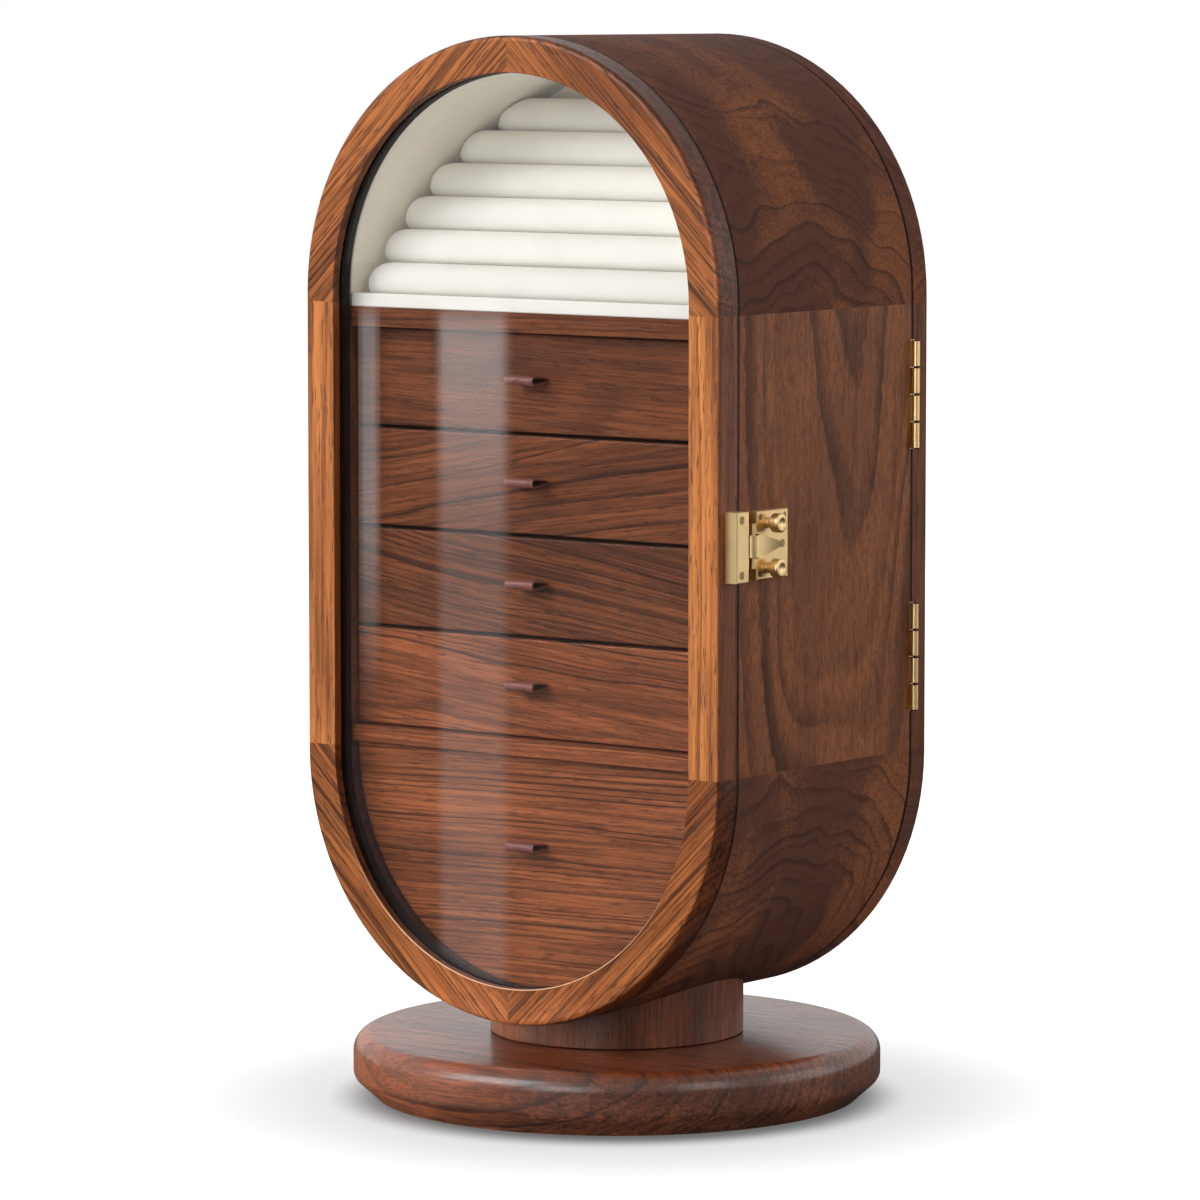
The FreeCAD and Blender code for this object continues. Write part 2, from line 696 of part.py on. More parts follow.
def latch():
    """Keeper on the door, latch body on the cabinet, its lever, buttons and button springs."""
    z_low = mid - keeper_height / 2
    z_high = z_low + keeper_height
    keeper = block(radius, radius + keeper_thickness, keeper_front, keeper_back, z_low, z_high)
    keeper = chamfer_outside(keeper, radius)
    for sign in (-1, 1):
        low = mid + sign * (prong_low + prong_height / 2) - prong_height / 2
        prong = block(
            radius + prong_inset, radius + keeper_thickness - prong_inset, keeper_back - prong_length,
            keeper_back + prong_length, low, low + prong_height
        )
        keeper = keeper.fuse(prong)
    parts["latch_keeper"] = drill(keeper, keeper_seats(), -X, latch_screw)
    parts["front_right_stile"] = drill(parts["front_right_stile"], keeper_seats(), -X, latch_screw)

    z_low = mid - latch_height / 2
    plate = block(radius, latch_face, latch_front, latch_front + latch_length, z_low, z_low + latch_height)
    plate = chamfer_outside(plate, radius)
    axis = lever_axis()
    for low in (-ear_reach, ear_low):
        plate = plate.fuse(rod(ear_radius, axis + Z * low, Z, ear_height))
        plate = plate.fuse(
            block(
                axis.x - ear_radius, axis.x + ear_radius, axis.y, latch_front + latch_chamfer,
                mid + low, mid + low + ear_height
            )
        )
    swing = lever_barrel_radius + seat_gap
    plate = plate.cut(rod(swing, axis - Z * ear_low, Z, 2 * ear_low))
    plate = plate.cut(rod(lever_pin_radius + running_gap, axis - Z * ear_reach, Z, 2 * ear_reach))
    for place in button_axes():
        plate = plate.cut(rod(button_stem_radius + running_gap, place, X, latch_thickness))
        well = flange_high - radius + running_gap
        plate = plate.cut(rod(button_flange_radius + seat_gap, place, X, well))
    plate = drill(plate, latch_seats(), -X, small_screw)
    parts["latch_plate"] = drill(plate, [lever_seat()], -X, latch_screw)
    side = drill(parts["right_side"], latch_seats(), -X, small_screw)
    parts["right_side"] = drill(side, [lever_seat()], -X, latch_screw)

    parts["latch_lever"] = lever()
    springs = []
    for name, place in zip(("lower", "upper"), button_axes()):
        parts["latch_button_" + name] = button(place)
        ring = rod(button_stem_radius, place, X, 2 * spring_wire)
        springs.append(ring.cut(rod(button_stem_radius - spring_wire, place, X, 2 * spring_wire)))
    parts["latch_springs"] = Part.makeCompound(springs)


def chamfer_outside(shape, x):
    """Breaks the edges of a block, apart from those on the face that is fastened at x."""
    edges = [edge for edge in shape.Edges if edge.BoundBox.XMin > x + latch_chamfer]
    return shape.makeChamfer(latch_chamfer, edges)


def lever():
    """A barrel on the pin, a curled nose towards the keeper and a tail that tapers over the latch body."""
    axis = lever_axis()
    half = lever_height / 2
    barrel = rod(lever_barrel_radius, axis - Z * half, Z, lever_height)
    outside = axis.x + lever_barrel_radius
    inside = outside - lever_plate
    tip = axis.y + lever_tail
    tail = prism(
        [
            point(inside, axis.y, mid - half), point(inside, axis.y + lever_nose, mid - half),
            point(inside, tip, mid - lever_tip_height / 2), point(inside, tip, mid + lever_tip_height / 2),
            point(inside, axis.y + lever_nose, mid + half), point(inside, axis.y, mid + half),
        ],
        X * lever_plate,
    )
    nose = block(axis.x, axis.x + lever_plate, axis.y - lever_nose, axis.y, mid - half, mid + half)
    curl = rod(lever_plate, point(axis.x, axis.y - lever_nose + lever_plate, mid - half), Z, lever_height)
    solid = barrel.fuse([tail, nose, curl])
    return solid.cut(rod(lever_pin_radius + running_gap, axis - Z * half, Z, lever_height))


def button(place):
    """A push button: flange and stem in the latch body, and a turned head with a dimple."""
    start = point(flange_high - button_flange_thickness, place.y, place.z)
    neck_end = latch_face + button_rest_gap
    stem = rod(button_flange_radius, start, X, button_flange_thickness)
    stem = stem.fuse(rod(button_stem_radius, start, X, neck_end - start.x))
    flare = button_head_height / 3
    seat = point(neck_end, place.y, place.z)
    head = Part.makeCone(button_stem_radius, button_head_radius, flare, seat, X)
    drum = rod(button_head_radius, seat + X * flare, X, button_head_height - flare)
    rim = [edge for edge in drum.Edges if edge.BoundBox.XMin > seat.x + button_head_height - flare / 2]
    drum = drum.makeFillet(flare / 2, rim)
    ball = button_head_radius
    dimple = Part.makeSphere(ball, seat + X * (button_head_height + ball - button_dimple))
    return stem.fuse([head, drum]).cut(dimple)


def hooks():
    """Brass hooks for necklaces on the back of the partition."""
    pegs = []
    for index in range(hook_count):
        x = (index - (hook_count - 1) / 2) * hook_pitch
        root = point(x, part_back, arc_top - hook_drop)
        plate = rod(hook_plate_radius, root, Y, hook_plate_thickness)
        peg = rod(hook_radius, root, Y, hook_reach)
        tip = root + Y * (hook_reach - hook_radius)
        pegs.append(plate.fuse([peg, rod(hook_radius, tip, Z, hook_tip)]))
    parts["necklace_hooks"] = Part.makeCompound(pegs)


def screws():
    """Screws, grouped by the body that they ride on."""
    front = [screw(seat, -Y, leaf_screw) for seat in leaf_seats(door_back)]
    strikes = [rod(magnet_radius, point(p.x, rear_near, p.z), Y, magnet_thickness) for p in magnet_places()]
    parts["rear_door_screws"] = Part.makeCompound([turned(one) for one in front] + strikes)
    keeper = [screw(seat, -X, latch_screw) for seat in keeper_seats()]
    parts["front_door_screws"] = Part.makeCompound(front + keeper)
    body = [screw(seat, Y, leaf_screw) for seat in leaf_seats(body_front)]
    body += [turned(one) for one in body]
    body += [screw(seat, -X, small_screw) for seat in latch_seats()]
    body.append(screw(lever_seat(), -X, latch_screw))
    body += [screw(seat, -Z, wood_screw) for seat in neck_seats()]
    body += [screw(seat, Z, race_screw) for seat in race_seats(45, upper_race_low)]
    parts["cabinet_screws"] = Part.makeCompound(body)


base()
neck()
shell()
ring_rolls()
drawers()
front_door()
rear_door()
magnets()
hinges()
latch()
hooks()
screws()

os.makedirs("parts", exist_ok=True)
for name in sorted(parts):
    solids = parts[name].Solids
    whole = solids[0] if len(solids) == 1 else Part.makeCompound(solids)
    whole.exportStep("parts/%s.step" % name)
    if not whole.isValid():
        print("not valid:", name)
print(len(parts), "nodes")
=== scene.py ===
import math

import bmesh
import bpy
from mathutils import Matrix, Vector


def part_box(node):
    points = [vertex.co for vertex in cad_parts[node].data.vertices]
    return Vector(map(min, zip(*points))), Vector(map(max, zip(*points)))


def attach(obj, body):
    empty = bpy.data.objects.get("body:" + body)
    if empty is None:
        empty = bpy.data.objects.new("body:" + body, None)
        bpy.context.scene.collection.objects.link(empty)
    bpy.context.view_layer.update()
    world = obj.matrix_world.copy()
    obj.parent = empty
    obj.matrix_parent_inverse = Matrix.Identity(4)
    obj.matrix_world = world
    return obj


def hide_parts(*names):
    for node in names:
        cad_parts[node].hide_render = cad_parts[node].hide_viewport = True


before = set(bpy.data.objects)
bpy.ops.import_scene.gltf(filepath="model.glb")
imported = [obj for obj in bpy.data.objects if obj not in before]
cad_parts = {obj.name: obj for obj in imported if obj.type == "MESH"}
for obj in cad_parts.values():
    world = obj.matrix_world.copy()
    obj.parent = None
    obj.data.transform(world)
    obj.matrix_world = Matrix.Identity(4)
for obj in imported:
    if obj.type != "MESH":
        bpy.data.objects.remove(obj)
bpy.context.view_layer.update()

bl_info = {
    "name": "Rotating jewelry cabinet",
    "version": (1, 0, 0),
    "blender": (4, 5, 0),
    "location": "View3D > Sidebar > Cabinet",
    "description": "Wood, brass, glass and velvet for a jewelry cabinet that turns on its base",
    "category": "Object",
}

BLACK = (0.0, 0.0, 0.0, 1.0)
WHITE = (1.0, 1.0, 1.0, 1.0)

# How near a point must lie to a place to count as being there, and how near two points merge
NEAR = 0.0001
TIGHT = 0.00002
FINE = 0.00001

# How squarely a face or an edge must point along an axis
ALONG = 0.9

# The turn of a board whose grain runs across the cabinet
ACROSS = (0, -90, 0)

# The dark painted shade in the seams and gaps, the painted shade inside the door frame, and the painted
# highlight on the edge round the glass
GAP_SHADE = (0.016, 0.007, 0.004, 1.0)
GAP_SHADE_REACH = 0.0006
REVEAL = (0.42, 0.33, 0.26)
RIM_HIGHLIGHT = (0.80, 0.46, 0.27, 1.0)
RIM_REACH = 0.0006

# The hinges, whose knuckles are parted by gaps with painted shade
HINGE_LENGTH = 0.051
KNUCKLES = 4
KNUCKLE_GAP_SHADE = (0.03, 0.018, 0.008, 1.0)

# A pull: how its ends close up step by step, the cuts across it, how far it goes into the front, and its edge
PULL_DROPS = (0.4, 0.9, 1.3, 1.4)
PULL_CUTS = 4
PULL_TUCK = 0.0006
PULL_EDGE = 0.00028

# The foot that a roll's ends round over from, in shares of its radius
ROLL_FOOT = Vector((0.0, 0.35, -0.6))
ROLL_VOXEL = 0.0019

# The walls and floor of a drawer box, and the pad that lies in it
DRAWERS = range(1, 6)
FLAT_DRAWERS = range(1, 5)
BOX_WALL = 0.005
BOX_FLOOR = 0.003
PAD_PLAY = 0.0006
PAD_LIFT = 0.0001
PAD_CROWN = 0.0012
PAD_SLOPE = 0.016
PAD_EDGE = 0.0008
TROUGH_REACH = math.radians(72.0)

# The base's top, which is set in from its rounding, and how far in from its rim the foot's edge may lie
TOP_INSET = 0.0005
RIM_PLAY = 0.001

# The strip lights, which stand upright in front of the glass and fade at their top
STRIP_FRONT = -0.35
STRIP_FOOT = 0.002
STRIP_HEIGHT = 0.365
STRIP_FADE = (0.364, 0.346)


def colour(name, text, value):
    return bpy.props.FloatVectorProperty(
        name=name, description=text, subtype="COLOR", size=3, min=0.0, max=1.0, default=value
    )


def length(name, text, value):
    return bpy.props.FloatProperty(name=name, description=text, unit="LENGTH", precision=4, default=value)


def number(name, text, value, subtype="NONE"):
    return bpy.props.FloatProperty(name=name, description=text, subtype=subtype, default=value)


class CabinetWood(bpy.types.PropertyGroup):
    """Colours of the walnut boards."""

    frame_pale: colour("Frame, pale", "Pale wood of the door frame's front", (0.74, 0.265, 0.07))
    frame_brown: colour("Frame, brown", "Middle tone of the door frame's front", (0.46, 0.15, 0.04))
    frame_dark: colour("Frame, dark", "Dark lines of the door frame's front", (0.09, 0.026, 0.011))
    side_pale: colour("Side, pale", "Pale wood of the straight sides", (0.32, 0.112, 0.043))
    side_brown: colour("Side, brown", "Middle tone of the straight sides", (0.20, 0.068, 0.028))
    side_dark: colour("Side, dark", "Dark lines of the straight sides", (0.035, 0.013, 0.009))
    arc_pale: colour("Arc, pale", "Pale wood of the door frame's arcs", (0.57, 0.185, 0.048))
    arc_brown: colour("Arc, brown", "Middle tone of the door frame's arcs", (0.27, 0.077, 0.018))
    arc_dark: colour("Arc, dark", "Dark lines of the door frame's arcs", (0.04, 0.011, 0.005))
    base_pale: colour("Base, pale", "Pale wood of the base and the neck", (0.27, 0.075, 0.026))
    base_brown: colour("Base, brown", "Middle tone of the base and the neck", (0.092, 0.026, 0.011))
    base_dark: colour("Base, dark", "Dark lines of the base and the neck", (0.02, 0.008, 0.006))
    arch_pale: colour("Arch, pale", "Amber patches of the arches", (0.29, 0.102, 0.039))
    arch_brown: colour("Arch, brown", "Middle tone of the arches", (0.114, 0.045, 0.03))
    arch_dark: colour("Arch, dark", "Dark bands of the arches", (0.035, 0.0175, 0.016))
    drawer_pale: colour("Drawer, pale", "Pale lines of the drawer fronts", (0.32, 0.096, 0.032))
    drawer_brown: colour("Drawer, brown", "Middle tone of the drawer fronts", (0.13, 0.036, 0.012))
    drawer_dark: colour("Drawer, dark", "Dark lines of the drawer fronts", (0.02, 0.006, 0.0035))
    box_pale: colour("Box, pale", "Pale wood of the drawer boxes", (0.52, 0.33, 0.17))
    box_brown: colour("Box, brown", "Middle tone of the drawer boxes", (0.42, 0.25, 0.12))
    box_dark: colour("Box, dark", "Dark lines of the drawer boxes", (0.25, 0.13, 0.06))


class CabinetTrim(bpy.types.PropertyGroup):
    """Colours of the metal, leather and cloth."""

    brass: colour("Brass", "Satin brass of the hinges and the latch", (0.93, 0.67, 0.33))
    steel: colour("Steel", "Steel of the bearing", (0.55, 0.55, 0.56))
    velvet: colour("Velvet", "Cream velvet of the ring tray", (0.91, 0.886, 0.825))
    lining: colour("Lining", "Warmer velvet of the arch", (0.97, 0.90, 0.76))
    leather: colour("Leather", "Leather of the drawer pulls", (0.22, 0.068, 0.052))
    felt: colour("Felt", "Felt under the base", (0.03, 0.026, 0.024))
    rubber: colour("Rubber", "Rubber of the gasket", (0.005, 0.005, 0.005))


class CabinetSoft(bpy.types.PropertyGroup):
    """Sizes of the padded, leather and sanded pieces."""

    lining: length("Lining", "Thickness of the velvet lining", 0.0015)
    lining_lip: length("Lining lip", "Rounding of the lining's front edge", 0.0006)
    tray_round: length("Tray rounding", "Rounding of the velvet over the tray's edges", 0.0008)
    roll_count: bpy.props.IntProperty(name="Rolls", description="Padded rolls up the slope", default=6, min=2)
    roll_thickness: length("Roll thickness", "Diameter of a padded roll", 0.0186)
    roll_round: length("Roll ends", "How far in from its end a roll starts to round over", 0.014)
    roll_swell: length("Roll swell", "How far the stuffing swells a roll", 0.0004)
    roll_gap: length("Roll gap", "From the end of a roll to the lining", 0.0006)
    leather: length("Leather", "Thickness of a pull's leather", 0.0009)
    pull_root: length("Pull root", "Height of a pull where it enters the drawer front", 0.0021)
    pad_rise: length("Drawer pad", "Thickness of the velvet pad in a drawer", 0.0030)
    foot_ease: length("Foot edge", "How far the edge over the base's foot is sanded back", 0.0020)
    felt_round: length("Felt rounding", "Rounding of the felt disc's edge", 0.0005)


class CabinetStage(bpy.types.PropertyGroup):
    """Camera and light."""

    aim: bpy.props.FloatVectorProperty(
        name="Aim", description="Point in the middle of the picture", subtype="TRANSLATION", size=3,
        default=(0.0353, -0.0589, 0.2428)
    )
    azimuth: number(
        "Azimuth", "How far the camera stands round to the right of the front", math.radians(37.65), "ANGLE"
    )
    elevation: number(
        "Elevation", "How far the camera stands above the horizon", math.radians(5.72), "ANGLE"
    )
    distance: length("Distance", "From the camera to the aim", 2.80)
    lens: number("Lens", "Focal length of the camera in millimetres", 182.55, "DISTANCE_CAMERA")
    key: number("Key light", "Power of the large light at the front left", 62.0, "POWER")
    fill: number("Fill light", "Power of the light at the right", 10.0, "POWER")
    rear: number("Rear light", "Power of the soft light on the back", 24.0, "POWER")
    low: number("Low light", "Power of the low light on the left of the base", 0.085, "POWER")
    card: number("Card", "Brightness of the white card that the brass reflects", 1.3)
    front: number("Front card", "Brightness of the soft light beside the camera", 4.0)
    strip: number("Strip lights", "Brightness of the two narrow lights seen in the glass", 2.26)


def set_inputs(node, values):
    """Sets values on a node's own sockets."""
    for name, value in values.items():
        node.inputs[name].default_value = value


def put(tree, kind, inputs=None, **settings):
    """Adds a node with its settings and the values of its inputs."""
    made = tree.nodes.new(kind)
    for name, value in settings.items():
        setattr(made, name, value)
    set_inputs(made, inputs or {})
    return made


def feed(tree, value, socket):
    """Links an output to an input, or sets the input's value."""
    if isinstance(value, bpy.types.NodeSocket):
        tree.links.new(value, socket)
    else:
        socket.default_value = value


def calc(tree, operation, first, second=0.0, clamp=False):
    """A sum with numbers."""
    made = put(tree, "ShaderNodeMath", operation=operation, use_clamp=clamp)
    feed(tree, first, made.inputs[0])
    feed(tree, second, made.inputs[1])
    return made.outputs[0]


def plus(tree, first, second, clamp=False):
    return calc(tree, "ADD", first, second, clamp)


def minus(tree, first, second):
    return calc(tree, "SUBTRACT", first, second)


def times(tree, first, second):
    return calc(tree, "MULTIPLY", first, second)


def apart(tree, first, second=0.0):
    """How far two numbers lie apart."""
    return calc(tree, "ABSOLUTE", minus(tree, first, second))


def arrow(tree, operation, first, second=(0.0, 0.0, 0.0)):
    """A sum with vectors. LENGTH and DOT_PRODUCT give a number."""
    made = put(tree, "ShaderNodeVectorMath", operation=operation)
    feed(tree, first, made.inputs[0])
    feed(tree, second, made.inputs[1])
    return made.outputs["Value" if operation in ("LENGTH", "DOT_PRODUCT") else "Vector"]


def split(tree, vector):
    """X, Y and Z of a vector."""
    made = put(tree, "ShaderNodeSeparateXYZ")
    tree.links.new(vector, made.inputs[0])
    return made.outputs


def blend(tree, factor, first, second, kind="MIX"):
    """Mixes two colours."""
    made = put(tree, "ShaderNodeMix", data_type="RGBA", blend_type=kind)
    feed(tree, factor, made.inputs["Factor"])
    for value, name in ((first, "A"), (second, "B")):
        socket = [one for one in made.inputs if one.name == name and one.type == "RGBA"][0]
        feed(tree, value, socket)
    return [one for one in made.outputs if one.type == "RGBA"][0]


def tinted(tree, mask, paint, tint):
    """Multiplies a colour by a tint where a mask is on."""
    return blend(tree, mask, paint, blend(tree, 1.0, paint, (*tint, 1.0), "MULTIPLY"))


def solid(tone, share=1.0):
    """A colour for a socket, darker or paler by a share."""
    return (*(share * part for part in tone), 1.0)


def ramp(tree, value, low, high, to_low=0.0, to_high=1.0):
    """A smooth step from low to high."""
    made = put(tree, "ShaderNodeMapRange", interpolation_type="SMOOTHSTEP")
    feed(tree, value, made.inputs["Value"])
    for name, end in (("From Min", low), ("From Max", high), ("To Min", to_low), ("To Max", to_high)):
        feed(tree, end, made.inputs[name])
    return made.outputs["Result"]


def noise(tree, vector, scale, detail=2.0, rough=0.5, distortion=0.0, along=None, output="Fac"):
    """A noise pattern, drawn out along Z where along is given."""
    if along is not None:
        drawn = put(tree, "ShaderNodeCombineXYZ", {"X": 1.0, "Y": 1.0})
        feed(tree, along, drawn.inputs["Z"])
        vector = arrow(tree, "MULTIPLY", vector, drawn.outputs[0])
    made = put(tree, "ShaderNodeTexNoise", {"Detail": detail, "Roughness": rough, "Distortion": distortion})
    feed(tree, vector, made.inputs["Vector"])
    feed(tree, scale, made.inputs["Scale"])
    return made.outputs[output]


def new_group(name, inputs, outputs):
    """A shader node group with named sockets: (name, kind, default)."""
    tree = bpy.data.node_groups.new(name, "ShaderNodeTree")
    for label, kind, default in inputs:
        socket = tree.interface.new_socket(name=label, in_out="INPUT", socket_type="NodeSocket" + kind)
        if default is not None:
            socket.default_value = default
    for label, kind in outputs:
        tree.interface.new_socket(name=label, in_out="OUTPUT", socket_type="NodeSocket" + kind)
    return tree, put(tree, "NodeGroupInput").outputs, put(tree, "NodeGroupOutput").inputs


def growth_rings(tree, given):
    """The dark late wood of each year's ring, and a tone that differs from year to year."""
    vector = given["Vector"]
    bend = noise(tree, vector, given["Figure"], detail=1.5, rough=0.4, along=given["Drawn"], output="Color")
    bend = arrow(tree, "MULTIPLY", arrow(tree, "SUBTRACT", bend, (0.5, 0.5, 0.5)), given["Waver"])
    across = arrow(tree, "MULTIPLY", arrow(tree, "ADD", vector, bend), (1.0, 1.0, 0.0))
    count = times(tree, arrow(tree, "LENGTH", across), given["Rings"])

    uneven, change = 2.6, 0.31
    spread = put(tree, "ShaderNodeTexNoise", {"Scale": 1.0, "Detail": 1.0}, noise_dimensions="1D")
    feed(tree, times(tree, count, change), spread.inputs["W"])
    thread = noise(tree, vector, 520.0, detail=3.0, rough=0.6, along=0.05)
    frayed = times(tree, minus(tree, thread, 0.5), given["Feather"])
    count = plus(tree, plus(tree, count, times(tree, spread.outputs["Fac"], uneven)), frayed)

    darkest, end = 0.92, 0.93
    ring = calc(tree, "FRACT", count)
    late = times(tree, ramp(tree, ring, given["Line"], darkest), ramp(tree, ring, 1.0, end))
    year = put(tree, "ShaderNodeTexWhiteNoise", noise_dimensions="1D")
    feed(tree, calc(tree, "FLOOR", count), year.inputs["W"])
    late = times(tree, late, ramp(tree, year.outputs["Value"], 0.0, 1.0, to_low=0.3))
    fade = noise(tree, vector, 26.0, along=0.2)
    late = times(tree, late, ramp(tree, fade, 0.3, 0.6, to_low=0.5))
    tone = put(tree, "ShaderNodeSeparateColor")
    tree.links.new(year.outputs["Color"], tone.inputs[0])
    return late, tone.outputs["Green"]


def walnut_figure():
    """Rings, streaks, fibres and pores of a walnut board that is sawn from a log along Z of its vector."""
    if "walnut_figure" in bpy.data.node_groups:
        return bpy.data.node_groups["walnut_figure"]
    tree, given, result = new_group(
        "walnut_figure",
        [
            ("Vector", "Vector", None),
            ("Pale", "Color", (0.5, 0.2, 0.08, 1.0)),
            ("Brown", "Color", (0.3, 0.1, 0.05, 1.0)),
            ("Dark", "Color", (0.1, 0.04, 0.02, 1.0)),
            ("Rings", "Float", 250.0),
            ("Waver", "Float", 0.02),
            ("Figure", "Float", 14.0),
            ("Drawn", "Float", 0.3),
            ("Feather", "Float", 0.5),
            ("Line", "Float", 0.35),
            ("Ring depth", "Float", 0.8),
            ("Streak depth", "Float", 0.5),
            ("Patches", "Float", 0.6),
            ("Pores", "Float", 0.6),
        ],
        [("Color", "Color"), ("Roughness", "Float"), ("Height", "Float")],
    )
    vector = given["Vector"]
    late, year = growth_rings(tree, given)
    streak = ramp(tree, noise(tree, vector, 230.0, detail=5.0, rough=0.62, along=0.035), 0.45, 0.68)
    fibre = noise(tree, vector, 800.0, detail=3.0, rough=0.7, along=0.03)
    pore = ramp(tree, noise(tree, vector, 1150.0, detail=1.0, along=0.09), 0.6, 0.7)
    patch = ramp(tree, noise(tree, vector, 13.0, rough=0.55, distortion=0.4, along=0.3), 0.36, 0.64)

    fibre_tone, year_tone = 0.6, 0.25
    tone = times(tree, patch, given["Patches"])
    tone = plus(tree, tone, times(tree, ramp(tree, fibre, 0.39, 0.61), fibre_tone))
    tone = plus(tree, tone, times(tree, year, year_tone), clamp=True)
    paint = blend(tree, tone, given["Pale"], given["Brown"])
    for mask, depth in ((late, "Ring depth"), (streak, "Streak depth"), (pore, "Pores")):
        paint = blend(tree, times(tree, mask, given[depth]), paint, given["Dark"])
    feed(tree, paint, result["Color"])

    least_rough, fibre_rough, pore_rough, fibre_height = 0.32, 0.12, 0.2, 0.3
    dull = plus(tree, times(tree, fibre, fibre_rough), times(tree, pore, pore_rough))
    feed(tree, plus(tree, dull, least_rough), result["Roughness"])
    feed(tree, minus(tree, times(tree, fibre, fibre_height), pore), result["Height"])
    return tree


def cloth_nap():
    """Short pile of velvet or felt: soft patches of tone and a fine rough surface."""
    if "cloth_nap" in bpy.data.node_groups:
        return bpy.data.node_groups["cloth_nap"]
    tree, given, result = new_group(
        "cloth_nap",
        [("Vector", "Vector", None), ("Cloth", "Color", (0.8, 0.8, 0.7, 1.0)), ("Contrast", "Float", 0.1)],
        [("Color", "Color"), ("Height", "Float")],
    )
    patch_share, pile_share = 0.6, 0.4
    patch = noise(tree, given["Vector"], 45.0, detail=3.0, rough=0.6, distortion=0.6)
    pile = noise(tree, given["Vector"], 1900.0, rough=0.7)
    shade = plus(tree, times(tree, patch, patch_share), times(tree, pile, pile_share))
    shade = times(tree, ramp(tree, shade, 0.7, 0.3), given["Contrast"])
    feed(tree, blend(tree, shade, given["Cloth"], BLACK), result["Color"])
    feed(tree, pile, result["Height"])
    return tree


def new_material(name):
    """A material, its tree, its shader and the outputs of its coordinates."""
    made = bpy.data.materials.new(name)
    made.use_nodes = True
    tree = made.node_tree
    return made, tree, tree.nodes["Principled BSDF"], put(tree, "ShaderNodeTexCoord").outputs


def bump(tree, shader, height, distance, strength):
    """Raises a surface by a height pattern."""
    made = put(tree, "ShaderNodeBump", {"Distance": distance, "Strength": strength})
    feed(tree, height, made.inputs["Height"])
    tree.links.new(made.outputs["Normal"], shader.inputs["Normal"])


def painted_seam_shade(tree, place, paint, seams):
    """Paints shade on a board's faces where they end at a seam, dark as in the gap between door and body, but
    not on its end. seams are places along Y.
    """
    if not seams:
        return paint
    depth = split(tree, place["Object"])["Y"]
    aside = ramp(tree, apart(tree, split(tree, place["Normal"])["Y"]), 0.97, 0.85)
    for seam in seams:
        seam_shade_mask = ramp(tree, apart(tree, depth, seam), 1.3 * GAP_SHADE_REACH, 0.7 * GAP_SHADE_REACH)
        paint = blend(tree, times(tree, seam_shade_mask, aside), paint, GAP_SHADE)
    return paint


def painted_lip_shade(tree, place, paint):
    """Paints shade on the rounded upper and lower edges of a board, the upper one only at its back, for the
    dark gaps between the drawers.
    """
    upright = split(tree, place["Normal"])["Z"]
    top = times(tree, ramp(tree, upright, 0.7, 0.9), ramp(tree, upright, 0.99, 0.96))
    bottom = times(tree, ramp(tree, upright, -0.5, -0.8), ramp(tree, upright, -0.99, -0.96))
    return blend(tree, calc(tree, "MAXIMUM", top, bottom), paint, GAP_SHADE)


def painted_rim_highlight(tree, place, paint):
    """Paints a highlight on the lower part of the edge round the glass, where its up-facing rounding catches
    the light.
    """
    low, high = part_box("front_bottom_right_arc")
    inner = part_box("front_right_stile")[0][0]
    middle = low[2] + high[0]
    spot = split(tree, place["Object"])
    flat = arrow(tree, "SUBTRACT", place["Object"], (0.0, 0.0, middle))
    flat = arrow(tree, "MULTIPLY", flat, (1.0, 0.0, 1.0))
    # rim is the mask of the painted highlight
    rim = ramp(tree, arrow(tree, "LENGTH", flat), inner + RIM_REACH, inner + 0.5 * RIM_REACH)
    rim = times(tree, rim, ramp(tree, spot["Y"], low[1] + RIM_REACH, low[1] + 0.5 * RIM_REACH))
    rim = times(tree, rim, ramp(tree, spot["Z"], middle - 0.35 * inner, middle - 0.85 * inner))
    return blend(tree, rim, paint, RIM_HIGHLIGHT)


def frame_edges(tree, place, paint, edge):
    """Tints the outer sides of the door frame with edge, darker partly as stain and partly as painted shade,
    paints shade on its inner sides, and paints a highlight on its rim.
    """
    low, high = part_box("right_side")
    outward = arrow(
        tree, "DOT_PRODUCT",
        arrow(tree, "SUBTRACT", place["Object"], (0.0, 0.0, (low[2] + high[2]) / 2)),
        arrow(tree, "MULTIPLY", place["Normal"], (1.0, 0.0, 1.0)),
    )
    away = ramp(tree, split(tree, place["Normal"])["Y"], -0.92, -0.55)
    # edge darkens the outer sides, partly as stain and partly as painted shade; REVEAL is painted shade on the
    # inner sides
    for reach, tint in ((0.02, edge), (-0.02, REVEAL)):
        paint = tinted(tree, times(tree, away, ramp(tree, outward, 0.0, reach)), paint, tint)
    return painted_rim_highlight(tree, place, paint)


